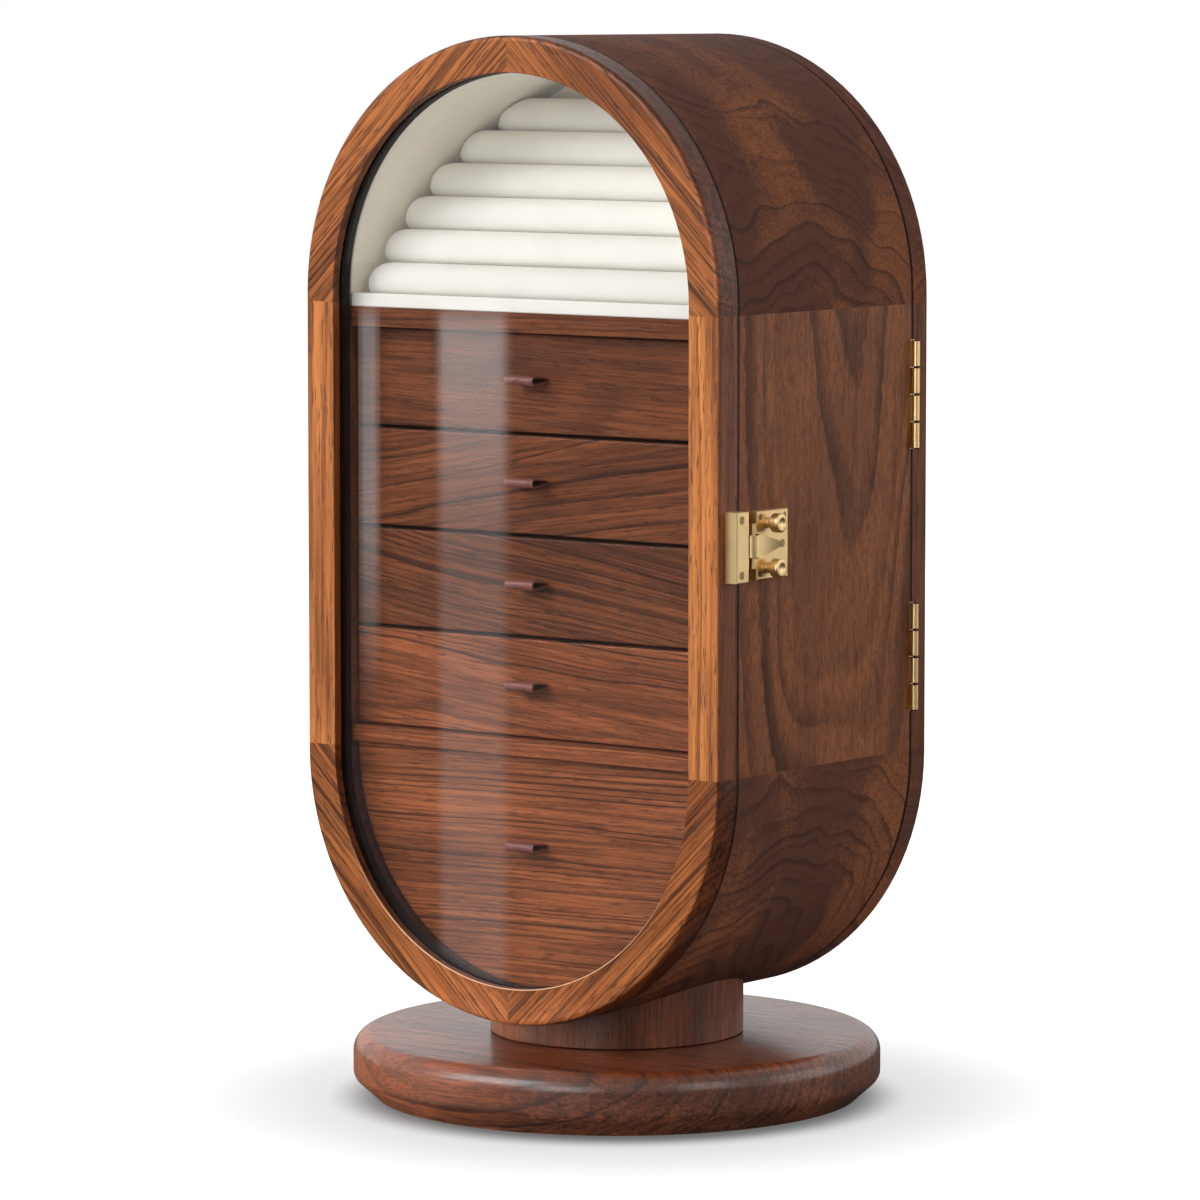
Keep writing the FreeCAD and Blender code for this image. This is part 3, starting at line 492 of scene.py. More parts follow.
def walnut(
    name, tones, turn=(0, 0, 0), shift=(0, 0, 0), shade=1.0, edge=None, gloss=0.2, coat=0.0, matt=0.0,
    seams=(), crown=None, lips=False, **figure
):
    """A walnut board. What is given beside the named settings goes to the figure's inputs.

    turn brings its grain to Z, shift moves the heart of its log and shade makes it darker. edge tints the
    faces that look away from the front darker, partly as stain and partly as painted shade; crown paints a
    lighter, warmer sheen on those that look up; and seams and lips get painted shade, dark as in the gaps
    between parts.
    """
    made, tree, shader, place = new_material(name)
    angles = [math.radians(one) for one in turn]
    mapping = put(tree, "ShaderNodeMapping", {"Rotation": angles, "Location": shift})
    tree.links.new(place["Object"], mapping.inputs["Vector"])
    board = put(tree, "ShaderNodeGroup", node_tree=walnut_figure())
    tree.links.new(mapping.outputs["Vector"], board.inputs["Vector"])
    wood = bpy.context.scene.cabinet_wood
    for label in ("Pale", "Brown", "Dark"):
        board.inputs[label].default_value = solid(getattr(wood, "%s_%s" % (tones, label.lower())), shade)
    set_inputs(board, {label.replace("_", " ").capitalize(): value for label, value in figure.items()})
    paint = board.outputs["Color"]
    if edge:
        paint = frame_edges(tree, place, paint, edge)
    paint = painted_seam_shade(tree, place, paint, seams)
    # crown: a painted sheen that makes upward faces lighter and warmer
    if crown:
        paint = tinted(tree, ramp(tree, split(tree, place["Normal"])["Z"], 0.5, 0.95), paint, crown)
    if lips:
        paint = painted_lip_shade(tree, place, paint)
    feed(tree, paint, shader.inputs["Base Color"])
    feed(tree, plus(tree, board.outputs["Roughness"], matt), shader.inputs["Roughness"])
    set_inputs(shader, {"Specular IOR Level": gloss, "Coat Weight": coat, "Coat Roughness": 0.18})
    bump(tree, shader, board.outputs["Height"], distance=0.00008, strength=0.6)
    return made


def knuckle_gap_shade(tree, place, paint):
    """Paints shade into the gaps between the knuckles of the hinges, which stand proud of the sides."""
    low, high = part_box("body_hinge_leaves")
    middle = (low[2] + high[2]) / 2
    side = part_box("right_side")[1][0]
    spot = split(tree, place["Object"])
    inward = minus(tree, apart(tree, spot["Z"], middle), high[2] - middle)
    count = times(tree, inward, KNUCKLES / HINGE_LENGTH)
    gap = ramp(tree, apart(tree, count, calc(tree, "ROUND", count)), 0.058, 0.036)
    proud = ramp(tree, apart(tree, spot["X"]), side, side + 0.0002)
    return blend(tree, times(tree, gap, proud), paint, KNUCKLE_GAP_SHADE)


def tip_shade(tree, place, paint, node, front=0.002, least=0.3):
    """Paints shade that lets a tone fall off from the front of a piece to its rear."""
    low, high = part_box(node)
    fall = ramp(tree, split(tree, place["Object"])["Y"], low[1] + front, high[1], to_high=1.0 - least)
    return blend(tree, fall, paint, BLACK)


def metal(name, tone, rough, hinge=False, tip=None, metallic=1.0):
    """Satin metal with faint rubbing marks.

    hinge paints shade into its knuckle gaps, and tip names a piece whose tone falls off to its rear as painted
    shade.
    """
    made, tree, shader, place = new_material(name)
    marks = noise(tree, place["Object"], 2600.0, detail=3.0, rough=0.6, along=0.06)
    cloud = noise(tree, place["Object"], 160.0)
    paint = blend(tree, ramp(tree, cloud, 0.35, 0.7), solid(tone), solid(tone, 0.93))
    if hinge:
        paint = knuckle_gap_shade(tree, place, paint)
    if tip:
        paint = tip_shade(tree, place, paint, tip)
    feed(tree, paint, shader.inputs["Base Color"])
    spread = 0.1
    feed(tree, plus(tree, times(tree, marks, spread), rough - spread / 2), shader.inputs["Roughness"])
    set_inputs(shader, {"Metallic": metallic})
    bump(tree, shader, marks, distance=0.00001, strength=0.25)
    return made


def velvet(name, tone, contrast, sheen):
    """Cloth with a short pile."""
    made, tree, shader, place = new_material(name)
    nap = put(tree, "ShaderNodeGroup", {"Cloth": solid(tone), "Contrast": contrast}, node_tree=cloth_nap())
    tree.links.new(place["Object"], nap.inputs["Vector"])
    feed(tree, nap.outputs["Color"], shader.inputs["Base Color"])
    set_inputs(shader, {"Roughness": 0.95, "Specular IOR Level": 0.2})
    set_inputs(shader, {"Sheen Weight": sheen, "Sheen Roughness": 0.4})
    bump(tree, shader, nap.outputs["Height"], distance=0.0001, strength=0.5)
    return made


def gasket_rubber(tone):
    """Dusty black rubber whose front part, in the frame's shadow, is painted near black as shade."""
    made, tree, shader, place = new_material("gasket_rubber")
    dust = noise(tree, place["Object"], 420.0, detail=3.0, rough=0.6)
    paint = blend(tree, ramp(tree, dust, 0.4, 0.75), solid(tone), solid(tone, 2.2))
    low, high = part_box("front_gasket")
    depth = high[1] - low[1]
    # the front part, in the frame's shadow, is painted near black as shade
    rear = ramp(tree, split(tree, place["Object"])["Y"], low[1] + 0.4 * depth, low[1] + 0.5 * depth)
    feed(tree, blend(tree, rear, (0.001, 0.001, 0.001, 1.0), paint), shader.inputs["Base Color"])
    feed(tree, ramp(tree, dust, 0.3, 0.7, to_low=0.4, to_high=0.6), shader.inputs["Roughness"])
    set_inputs(shader, {"Specular IOR Level": 0.1})
    bump(tree, shader, dust, distance=0.00004, strength=0.4)
    return made


def door_glass():
    """Clear glass that lets light through to the shelves behind it."""
    made, tree, shader, _ = new_material("door_glass")
    set_inputs(shader, {"Base Color": WHITE, "Transmission Weight": 1.0, "IOR": 1.48, "Roughness": 0.0})
    path = put(tree, "ShaderNodeLightPath").outputs
    clear = put(tree, "ShaderNodeBsdfTransparent")
    mix = put(tree, "ShaderNodeMixShader")
    feed(tree, calc(tree, "MAXIMUM", path["Is Shadow Ray"], path["Is Diffuse Ray"]), mix.inputs["Fac"])
    tree.links.new(shader.outputs[0], mix.inputs[1])
    tree.links.new(clear.outputs[0], mix.inputs[2])
    tree.links.new(mix.outputs[0], tree.nodes["Material Output"].inputs["Surface"])
    return made


def pull_leather(tone):
    """Smooth leather with a fine pebble and raw cut ends."""
    made, tree, shader, place = new_material("pull_leather")
    pebble = put(tree, "ShaderNodeTexVoronoi", {"Scale": 1500.0, "Randomness": 0.9})
    feed(tree, place["Object"], pebble.inputs["Vector"])
    rub = noise(tree, place["Object"], 260.0, detail=3.0, rough=0.6)
    paint = blend(tree, ramp(tree, rub, 0.35, 0.75), solid(tone), solid(tone, 0.55))
    cut = ramp(tree, apart(tree, split(tree, place["Normal"])["X"]), 0.55, 0.9)
    feed(tree, blend(tree, cut, paint, solid(tone)), shader.inputs["Base Color"])
    feed(tree, ramp(tree, rub, 0.3, 0.8, to_low=0.38, to_high=0.55), shader.inputs["Roughness"])
    bump(tree, shader, pebble.outputs["Distance"], distance=0.00006, strength=0.5)
    return made


def dress(material, *names):
    """Gives CAD pieces their finish."""
    for name in names:
        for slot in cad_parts[name].material_slots:
            slot.material = material


class CABINET_OT_walnut(bpy.types.Operator):
    """Finish every wooden piece in walnut, with the grain that its board has"""

    bl_idname = "cabinet.walnut"
    bl_label = "Walnut"

    def execute(self, context):
        self.door_frame()
        self.shell()
        self.drawers()
        self.stand()
        return {"FINISHED"}

    def door_frame(self):
        """Upright stiles, and arcs cut from boards that slope."""
        sawn = {"drawn": 0.12, "ring_depth": 0.85, "gloss": 0.3, "seams": [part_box("front_left_stile")[1][1]]}
        sawn.update(rings=230.0, waver=0.032, figure=17.0, feather=0.7, line=0.3, streak_depth=0.6, pores=0.7)
        for side, away in (("left", 0.2), ("right", 0.3)):
            name = side + "_stile"
            heart = (away, 0.2, away)
            stile = walnut("walnut_" + name, "frame", shift=heart, edge=(0.36, 0.28, 0.22), **sawn)
            dress(stile, "front_" + name)
        sawn.update(rings=420.0, waver=0.016, figure=13.0, feather=0.8, line=0.25, streak_depth=0.75)
        sawn.update(shift=(0.5, 0.2, 0.0), edge=(0.40, 0.30, 0.22))
        for name, slope, arcs in (
            ("rising", -46, ("front_top_left_arc", "front_bottom_right_arc")),
            ("falling", 46, ("front_top_right_arc", "front_bottom_left_arc")),
        ):
            dress(walnut("walnut_arc_" + name, "arc", turn=(0, slope, 0), **sawn), *arcs)

    def shell(self):
        """Flat-sawn sides with loops of grain, and arches cut from darker blocks whose grain runs across."""
        low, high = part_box("right_side")
        seams = [low[1], high[1]]
        rear = [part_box("rear_stiles")[0][1]]
        sawn = {"rings": 75.0, "waver": 0.05, "figure": 12.0, "drawn": 0.5, "feather": 0.3, "line": 0.3}
        sawn.update(ring_depth=0.8, streak_depth=0.35, pores=0.4, gloss=0.12)
        for name, tilt, heart in (
            ("right_side", -12, (-0.028, -0.012, 0.0)), ("left_side", 12, (0.028, 0.02, 0.6))
        ):
            dress(walnut("walnut_" + name, "side", turn=(0, tilt, 0), shift=heart, seams=seams, **sawn), name)
        panel = walnut("walnut_rear", "side", turn=(9, 0, 0), shift=(0.05, -0.03, 1.1), **sawn)
        dress(panel, "rear_panel")
        upright = {"rings": 260.0, "drawn": 0.1}
        stile = walnut(
            "walnut_rear_stile", "side", shift=(0.3, 0.2, 0.7), shade=0.65, gloss=0.12, seams=rear, **upright
        )
        dress(stile, "rear_stiles")
        dress(walnut("walnut_partition", "side", shift=(0.3, 0.2, 1.7), **upright), "partition")
        cloudy = {"rings": 120.0, "waver": 0.05, "figure": 22.0, "drawn": 0.4, "feather": 0.3, "line": 0.45}
        cloudy.update(ring_depth=0.65, streak_depth=0.2, patches=1.3, pores=0.3, gloss=0.05, matt=0.25)
        for name, heart in (("top_arch", (0.27, 0.03, 0.3)), ("bottom_arch", (0.02, 0.03, 1.7))):
            dress(walnut("walnut_" + name, "arch", turn=ACROSS, shift=heart, seams=seams, **cloudy), name)
        dress(walnut("walnut_rear_arcs", "arch", turn=(0, 60, 25), seams=rear, **cloudy), "rear_arcs")

    def drawers(self):
        """Drawer fronts from five boards of their own slope and depth of tone."""
        sawn = {"rings": 360.0, "figure": 13.0, "drawn": 0.35, "feather": 0.4, "line": 0.5}
        # lips paints shade on the drawers' rounded edges, for the dark gaps between them
        sawn.update(ring_depth=0.9, streak_depth=0.35, pores=0.5, gloss=0.2, lips=True)
        boards = ((-2, 0.04, 0.9), (8, 0.03, 0.8), (-8, 0.03, 0.78), (-5, 0.06, 1.45), (1, 0.014, 1.4))
        for count, (tilt, waver, shade) in zip(DRAWERS, boards):
            heart = (0.3 + 0.05 * count, 0.2, 0.37 * count)
            sawn.update(turn=(0, tilt - 90, 0), shift=heart, waver=waver, shade=shade)
            board = walnut("walnut_drawer_%d" % count, "drawer", **sawn)
            dress(board, "drawer_%d_front" % count)
        for name, heart, shade in (("upper", 2.6, 1.05), ("lower", 3.4, 1.7)):
            sawn.update(turn=ACROSS, shift=(0.5, 0.2, heart), shade=shade)
            dress(walnut("walnut_%s_rail" % name, "drawer", **sawn), name + "_shelf")
        plain = {"rings": 160.0, "ring_depth": 0.35, "streak_depth": 0.3}
        box = walnut("box_wood", "box", turn=ACROSS, shift=(0.4, 0.2, 0.0), **plain)
        dress(box, "drawer_runners", *["drawer_%d_box" % count for count in DRAWERS])

    def stand(self):
        """The base, cut from a flat board, and the neck, turned with its grain upright."""
        disc = {"rings": 190.0, "waver": 0.04, "figure": 9.0, "drawn": 0.35, "feather": 0.8}
        # crown paints a lighter, warmer sheen on the base's top, standing in for the bright surroundings that
        # it reflects
        disc.update(ring_depth=0.85, streak_depth=0.6, gloss=0.5, coat=0.48, crown=(1.5, 1.15, 0.7))
        disc.update(turn=(0, -90, 12), shift=(0.05, 0.18, 0.0))
        dress(walnut("walnut_base", "base", **disc), "base_disc")
        post = {"rings": 60.0, "waver": 0.04, "figure": 16.0, "drawn": 0.3, "feather": 0.3}
        post.update(ring_depth=0.6, streak_depth=0.3, gloss=0.4)
        dress(walnut("walnut_neck", "base", shift=(0.03, 0.03, 0.2), shade=0.9, **post), "neck")


class CABINET_OT_hardware(bpy.types.Operator):
    """Finish the brass and the steel"""

    bl_idname = "cabinet.hardware"
    bl_label = "Brass and steel"

    def execute(self, context):
        trim = context.scene.cabinet_trim
        brass = tuple(trim.brass)
        dress(
            metal("satin_brass", brass, 0.38),
            "latch_plate", "latch_button_upper", "latch_button_lower", "necklace_hooks",
        )
        dress(
            metal("hinge_brass", brass, 0.32, hinge=True),
            "front_hinge_leaves", "rear_hinge_leaves", "body_hinge_leaves", "hinge_pins",
        )
        dress(metal("keeper_brass", brass, 0.38, metallic=0.83), "latch_keeper")
        dress(metal("lever_brass", brass, 0.3, tip="latch_lever"), "latch_lever")
        # The screws are painted dark: painted shade for their slots
        shaded_screw_tone = tuple(0.35 * part for part in brass)
        dress(metal("worn_brass", shaded_screw_tone, 0.35), "cabinet_screws", "front_door_screws", "rear_door_screws")
        dress(
            metal("bearing_steel", tuple(trim.steel), 0.35),
            "bearing_lower_race", "bearing_upper_race", "bearing_balls", "base_screws", "pivot_bolt",
            "latch_springs", "rear_magnets",
        )
        return {"FINISHED"}


class CABINET_OT_glazing(bpy.types.Operator):
    """Finish the glass and its gasket"""

    bl_idname = "cabinet.glazing"
    bl_label = "Glass and gasket"

    def execute(self, context):
        dress(door_glass(), "front_glass")
        dress(gasket_rubber(tuple(context.scene.cabinet_trim.rubber)), "front_gasket")
        return {"FINISHED"}


def start_fresh():
    """Leaves edit mode and deselects everything."""
    if bpy.context.object and bpy.context.object.mode != "OBJECT":
        bpy.ops.object.mode_set(mode="OBJECT")
    bpy.ops.object.select_all(action="DESELECT")


def pick(kind, test):
    """Selects what passes a test in the open mesh.

    The test gets the middle of a vertex, edge or face, and its normal or, for an edge, its direction.
    """
    bpy.ops.mesh.select_mode(type=kind)
    bpy.ops.mesh.select_all(action="DESELECT")
    mesh = bpy.context.object.data
    cage = bmesh.from_edit_mesh(mesh)
    members = {"VERT": cage.verts, "EDGE": cage.edges, "FACE": cage.faces}[kind]
    count = 0
    for one in members:
        if kind == "VERT":
            middle, normal = one.co, one.normal
        elif kind == "EDGE":
            start, end = (corner.co for corner in one.verts)
            middle, normal = (start + end) / 2, (end - start).normalized()
        else:
            middle, normal = one.calc_center_median(), one.normal
        if test(middle, normal):
            one.select_set(True)
            count += 1
    cage.select_flush_mode()
    bmesh.update_edit_mesh(mesh)
    if not count:
        raise RuntimeError("nothing was selected on " + bpy.context.object.name)


def move(x=0.0, y=0.0, z=0.0):
    bpy.ops.transform.translate(value=(x, y, z))


def extrude(x=0.0, y=0.0, z=0.0):
    bpy.ops.mesh.extrude_region_move(TRANSFORM_OT_translate={"value": (x, y, z)})


def edit_all():
    """Opens the active mesh for editing, all selected."""
    bpy.ops.object.mode_set(mode="EDIT")
    bpy.ops.mesh.select_all(action="SELECT")


def open_mesh():
    """Puts the active object's place in its mesh and opens it for editing."""
    bpy.ops.object.transform_apply(location=True, rotation=True, scale=True)
    edit_all()


def close_mesh(merge=TIGHT):
    """Merges doubles, turns the faces outwards and leaves edit mode."""
    bpy.ops.mesh.select_all(action="SELECT")
    bpy.ops.mesh.remove_doubles(threshold=merge)
    bpy.ops.mesh.normals_make_consistent(inside=False)
    bpy.ops.object.mode_set(mode="OBJECT")


def apply_modifier(kind, **settings):
    made = bpy.context.object.modifiers.new(kind.lower(), kind)
    for name, value in settings.items():
        setattr(made, name, value)
    bpy.ops.object.modifier_apply(modifier=made.name)


def round_edges(width, segments, turn):
    """Rounds the edges of the active piece where its faces turn by more than turn degrees."""
    apply_modifier(
        "BEVEL", width=width, segments=segments, limit_method="ANGLE", angle_limit=math.radians(turn)
    )


def join_pieces(pieces):
    """Joins pieces into the first one."""
    start_fresh()
    for piece in pieces:
        piece.select_set(True)
    bpy.context.view_layer.objects.active = pieces[0]
    bpy.ops.object.join()


def copy_piece(piece):
    """Copies a piece and leaves the copy active."""
    start_fresh()
    piece.select_set(True)
    bpy.context.view_layer.objects.active = piece
    bpy.ops.object.duplicate()
    return bpy.context.object


def copy_node(name):
    """Copies a CAD piece, merges the copy's loose triangles and opens it for editing."""
    copy = copy_piece(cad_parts[name])
    copy.parent = None
    for mark in list(copy.keys()):
        del copy[mark]
    edit_all()
    bpy.ops.mesh.remove_doubles(threshold=FINE)


def copy_to(pattern, start, node):
    """Copies a pattern and lifts the copy from a height, start, to the foot of a CAD piece."""
    copy_piece(pattern)
    edit_all()
    move(z=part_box(node)[0][2] - start)
    bpy.ops.object.mode_set(mode="OBJECT")


def hand_over(name, material, body, slot, *nodes, angle=40.0):
    """Names the active piece and smooths it. slot is not used.

    It gets its finish and its body, and the CAD pieces that it stands for are hidden.
    """
    piece = bpy.context.object
    piece.name = name
    piece.data.name = name
    bpy.ops.object.shade_smooth_by_angle(angle=math.radians(angle))
    piece.data.materials.clear()
    piece.data.materials.append(material)
    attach(piece, body)
    if nodes:
        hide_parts(*nodes)
    return piece


def cream_velvet():
    """The velvet of the tray, the rolls and the pads, made once."""
    if "cream_velvet" not in bpy.data.materials:
        velvet("cream_velvet", tuple(bpy.context.scene.cabinet_trim.velvet), contrast=0.06, sheen=0.25)
    return bpy.data.materials["cream_velvet"]


class CABINET_OT_base(bpy.types.Operator):
    """Sand the edge over the base's foot round"""

    bl_idname = "cabinet.base"
    bl_label = "Base edge"

    def execute(self, context):
        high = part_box("base_disc")[1]
        copy_node("base_disc")
        bpy.ops.mesh.customdata_custom_splitnormals_clear()
        bpy.ops.mesh.tris_convert_to_quads()
        cage = bmesh.from_edit_mesh(context.object.data)
        foot = min(vertex.co.z for vertex in cage.verts if vertex.co.xy.length > high[0] - NEAR)
        pick("FACE", lambda place, normal: place.z > high[2] - NEAR and normal.z > ALONG)
        bpy.ops.mesh.inset(thickness=TOP_INSET, depth=0.0)
        rim = high[0] - RIM_PLAY
        pick("EDGE", lambda place, line: abs(place.z - foot) < NEAR and place.xy.length > rim)
        bpy.ops.mesh.bevel(offset=context.scene.cabinet_soft.foot_ease, segments=6, affect="EDGES")
        close_mesh()
        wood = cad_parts["base_disc"].material_slots[0].material
        hand_over("turned_base", wood, "base", "walnut_base", "base_disc")
        return {"FINISHED"}


class CABINET_OT_lining(bpy.types.Operator):
    """Line the arch and the back of the ring space with velvet"""

    bl_idname = "cabinet.lining"
    bl_label = "Arch lining"

    def execute(self, context):
        thick = context.scene.cabinet_soft.lining
        low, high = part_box("arch_lining")
        strip = self.arch_strip(context, low, high, thick)
        join_pieces([strip, self.back(context, low, high, thick)])
        cloth = velvet("lining_velvet", tuple(context.scene.cabinet_trim.lining), contrast=0.06, sheen=0.6)
        hand_over("arch_lining_velvet", cloth, "cabinet", "velvet", "arch_lining")
        return {"FINISHED"}

    def arch_strip(self, context, low, high, thick):
        """The lining of the arch and its sides, with a rounded lip at the front."""
        outer = high[0]
        middle = high[2] - outer
        back = high[1] - thick
        centre = (outer - thick / 2, (low[1] + back) / 2, middle)
        start_fresh()
        bpy.ops.mesh.primitive_plane_add(size=1.0, location=centre)
        context.object.scale = (thick, back - low[1], 1.0)
        open_mesh()
        pick("VERT", lambda place, normal: place.y < low[1] + NEAR and place.x < centre[0])
        bpy.ops.mesh.bevel(offset=context.scene.cabinet_soft.lining_lip, segments=4, affect="VERTICES")
        bpy.ops.mesh.select_all(action="SELECT")
        bpy.ops.mesh.spin(steps=96, angle=math.pi, center=(0.0, 0.0, middle), axis=(0.0, 1.0, 0.0))
        pick("FACE", lambda place, normal: abs(place.z - middle) < TIGHT and abs(normal.z) > ALONG)
        extrude(z=low[2] - middle)
        close_mesh()
        return context.object

    def back(self, context, low, high, thick):
        """The lining of the back, whose rim dips to the strip."""
        rim = 0.7 * thick
        outer = high[0]
        start_fresh()
        bpy.ops.mesh.primitive_circle_add(
            vertices=128, radius=outer, fill_type="NGON", location=(0.0, high[1], high[2] - outer),
            rotation=(math.pi / 2, 0.0, 0.0)
        )
        open_mesh()
        bpy.ops.mesh.bisect(
            plane_co=(0.0, 0.0, low[2]), plane_no=(0.0, 0.0, 1.0), clear_inner=True, use_fill=False
        )
        bpy.ops.mesh.select_all(action="SELECT")
        extrude(y=-rim)
        bpy.ops.mesh.inset(thickness=thick, depth=0.0)
        move(y=rim - thick)
        close_mesh()
        return context.object


class CABINET_OT_tray(bpy.types.Operator):
    """Wrap the tray under the rolls in velvet, with soft edges"""

    bl_idname = "cabinet.tray"
    bl_label = "Ring tray"

    def execute(self, context):
        copy_node("ring_tray")
        bpy.ops.mesh.dissolve_limited(angle_limit=math.radians(2.0))
        close_mesh()
        round_edges(context.scene.cabinet_soft.tray_round, segments=4, turn=30.0)
        hand_over("ring_tray_velvet", cream_velvet(), "cabinet", "velvet", "ring_tray")
        return {"FINISHED"}


def stuff(pressure, most, frames=20):
    """Blows the active piece up as stuffed cloth. No point moves further than most."""
    piece = bpy.context.object
    before = [vertex.co.copy() for vertex in piece.data.vertices]
    cloth = piece.modifiers.new("cloth", "CLOTH")
    cloth.settings.use_pressure = True
    cloth.settings.uniform_pressure_force = pressure
    cloth.settings.effector_weights.gravity = 0.0
    for step in range(1, frames + 1):
        bpy.context.scene.frame_set(step)
    bpy.ops.object.modifier_apply(modifier=cloth.name)
    bpy.context.scene.frame_set(1)
    for vertex, was in zip(piece.data.vertices, before):
        moved = vertex.co - was
        if moved.length > most:
            vertex.co = was + moved.normalized() * most


class CABINET_OT_rolls(bpy.types.Operator):
    """Stuff the padded rolls that hold rings, each shaped to the arch"""

    bl_idname = "cabinet.rolls"
    bl_label = "Ring rolls"

    def execute(self, context):
        soft = context.scene.cabinet_soft
        low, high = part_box("ring_rolls")
        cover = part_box("arch_lining")[1]
        r = soft.roll_thickness / 2
        first = Vector((0.0, low[1] + r, low[2] + r))
        last = Vector((0.0, high[1] - r, high[2] - r))
        self.middle = cover[2] - cover[0]
        self.reach = cover[0] - soft.lining - soft.roll_gap
        rolls = []
        for index in range(soft.roll_count):
            place = first.lerp(last, index / (soft.roll_count - 1))
            rolls.append(self.roll(context, place, r - soft.roll_swell, soft.roll_round))
        join_pieces(rolls)
        stuff(pressure=4.0, most=soft.roll_swell)
        apply_modifier("SMOOTH", factor=0.5, iterations=3)
        apply_modifier("SUBSURF", levels=1, render_levels=1)
        piece = hand_over("ring_rolls_velvet", cream_velvet(), "cabinet", "velvet", "ring_rolls", angle=80.0)
        return {"FINISHED"}

    def half_at(self, z):
        """Half the room between the arch's sides at a height."""
        over = min(max(z - self.middle, 0.0), self.reach)
        return math.sqrt(self.reach**2 - over**2)

    def roll(self, context, place, r, cap, steps=8, tip=0.06):
        """A roll whose ends round over from its foot, where it meets the roll below, down to a small tip."""
        foot = place + r * ROLL_FOOT
        half = self.half_at(foot.z)
        start_fresh()
        bpy.ops.mesh.primitive_cylinder_add(
            vertices=32, radius=r, depth=2 * (half - cap), end_fill_type="NGON", location=place,
            rotation=(0.0, math.pi / 2, 0.0)
        )
        open_mesh()
        for sign in (-1, 1):
            pick("FACE", lambda spot, normal: sign * normal.x > ALONG)
            across = 1.0
            for step in range(1, steps + 1):
                angle = math.pi / 2 * step / steps
                before = math.pi / 2 * (step - 1) / steps
                extrude(x=sign * cap * (math.sin(angle) - math.sin(before)))
                size = max(math.cos(angle), tip)
                share = size / across
                across = size
                bpy.ops.transform.resize(value=(1.0, share, share), center_override=foot)
        cage = bmesh.from_edit_mesh(context.object.data)
        for vertex in cage.verts:
            room = self.half_at(vertex.co.z)
            vertex.co.x = min(max(vertex.co.x, -room), room)
        bmesh.update_edit_mesh(context.object.data)
        close_mesh()
        apply_modifier("REMESH", mode="VOXEL", voxel_size=ROLL_VOXEL)
        apply_modifier("SMOOTH", factor=0.5, iterations=4)
        return context.object


class CABINET_OT_pulls(bpy.types.Operator):
    """Fold the leather pulls of the drawers"""

    bl_idname = "cabinet.pulls"
    bl_label = "Leather pulls"

    def execute(self, context):
        hide = pull_leather(tuple(context.scene.cabinet_trim.leather))
        low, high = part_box("drawer_1_pull")
        pattern = self.loop(context, low, high)
        for count in DRAWERS:
            body = "drawer_%d" % count
            copy_to(pattern, low[2], body + "_pull")
            hand_over(body + "_leather_pull", hide, body, "leather", body + "_pull", angle=50.0)
        bpy.data.objects.remove(pattern)
        return {"FINISHED"}

    def loop(self, context, low, high):
        """A strap folded round a nose, whose two ends close up where they enter the drawer front."""
        soft = context.scene.cabinet_soft
        nose = (high[2] - low[2]) / 2
        centre = Vector((low[0], low[1] + nose, (low[2] + high[2]) / 2))
        start_fresh()
        bpy.ops.mesh.primitive_circle_add(
            vertices=28, radius=nose, fill_type="NOTHING", location=centre, rotation=(0.0, math.pi / 2, 0.0)
        )
        open_mesh()
        pick("VERT", lambda place, normal: place.y > centre.y + TIGHT)
        bpy.ops.mesh.delete(type="VERT")
        run = (high[1] - centre.y + PULL_TUCK) / len(PULL_DROPS)
        drop = (nose - soft.pull_root / 2) / len(PULL_DROPS)
        for sign in (-1, 1):
            pick("VERT", lambda place, normal: sign * (place.z - centre.z) > nose - TIGHT)
            for share in PULL_DROPS:
                extrude(y=run, z=-sign * drop * share)
        bpy.ops.mesh.select_all(action="SELECT")
        for _ in range(PULL_CUTS):
            extrude(x=(high[0] - low[0]) / PULL_CUTS)
        close_mesh(FINE)
        apply_modifier("SOLIDIFY", thickness=soft.leather, offset=-1.0, use_even_offset=True)
        round_edges(PULL_EDGE, segments=2, turn=40.0)
        apply_modifier("SUBSURF", levels=1, render_levels=1)
        return context.object


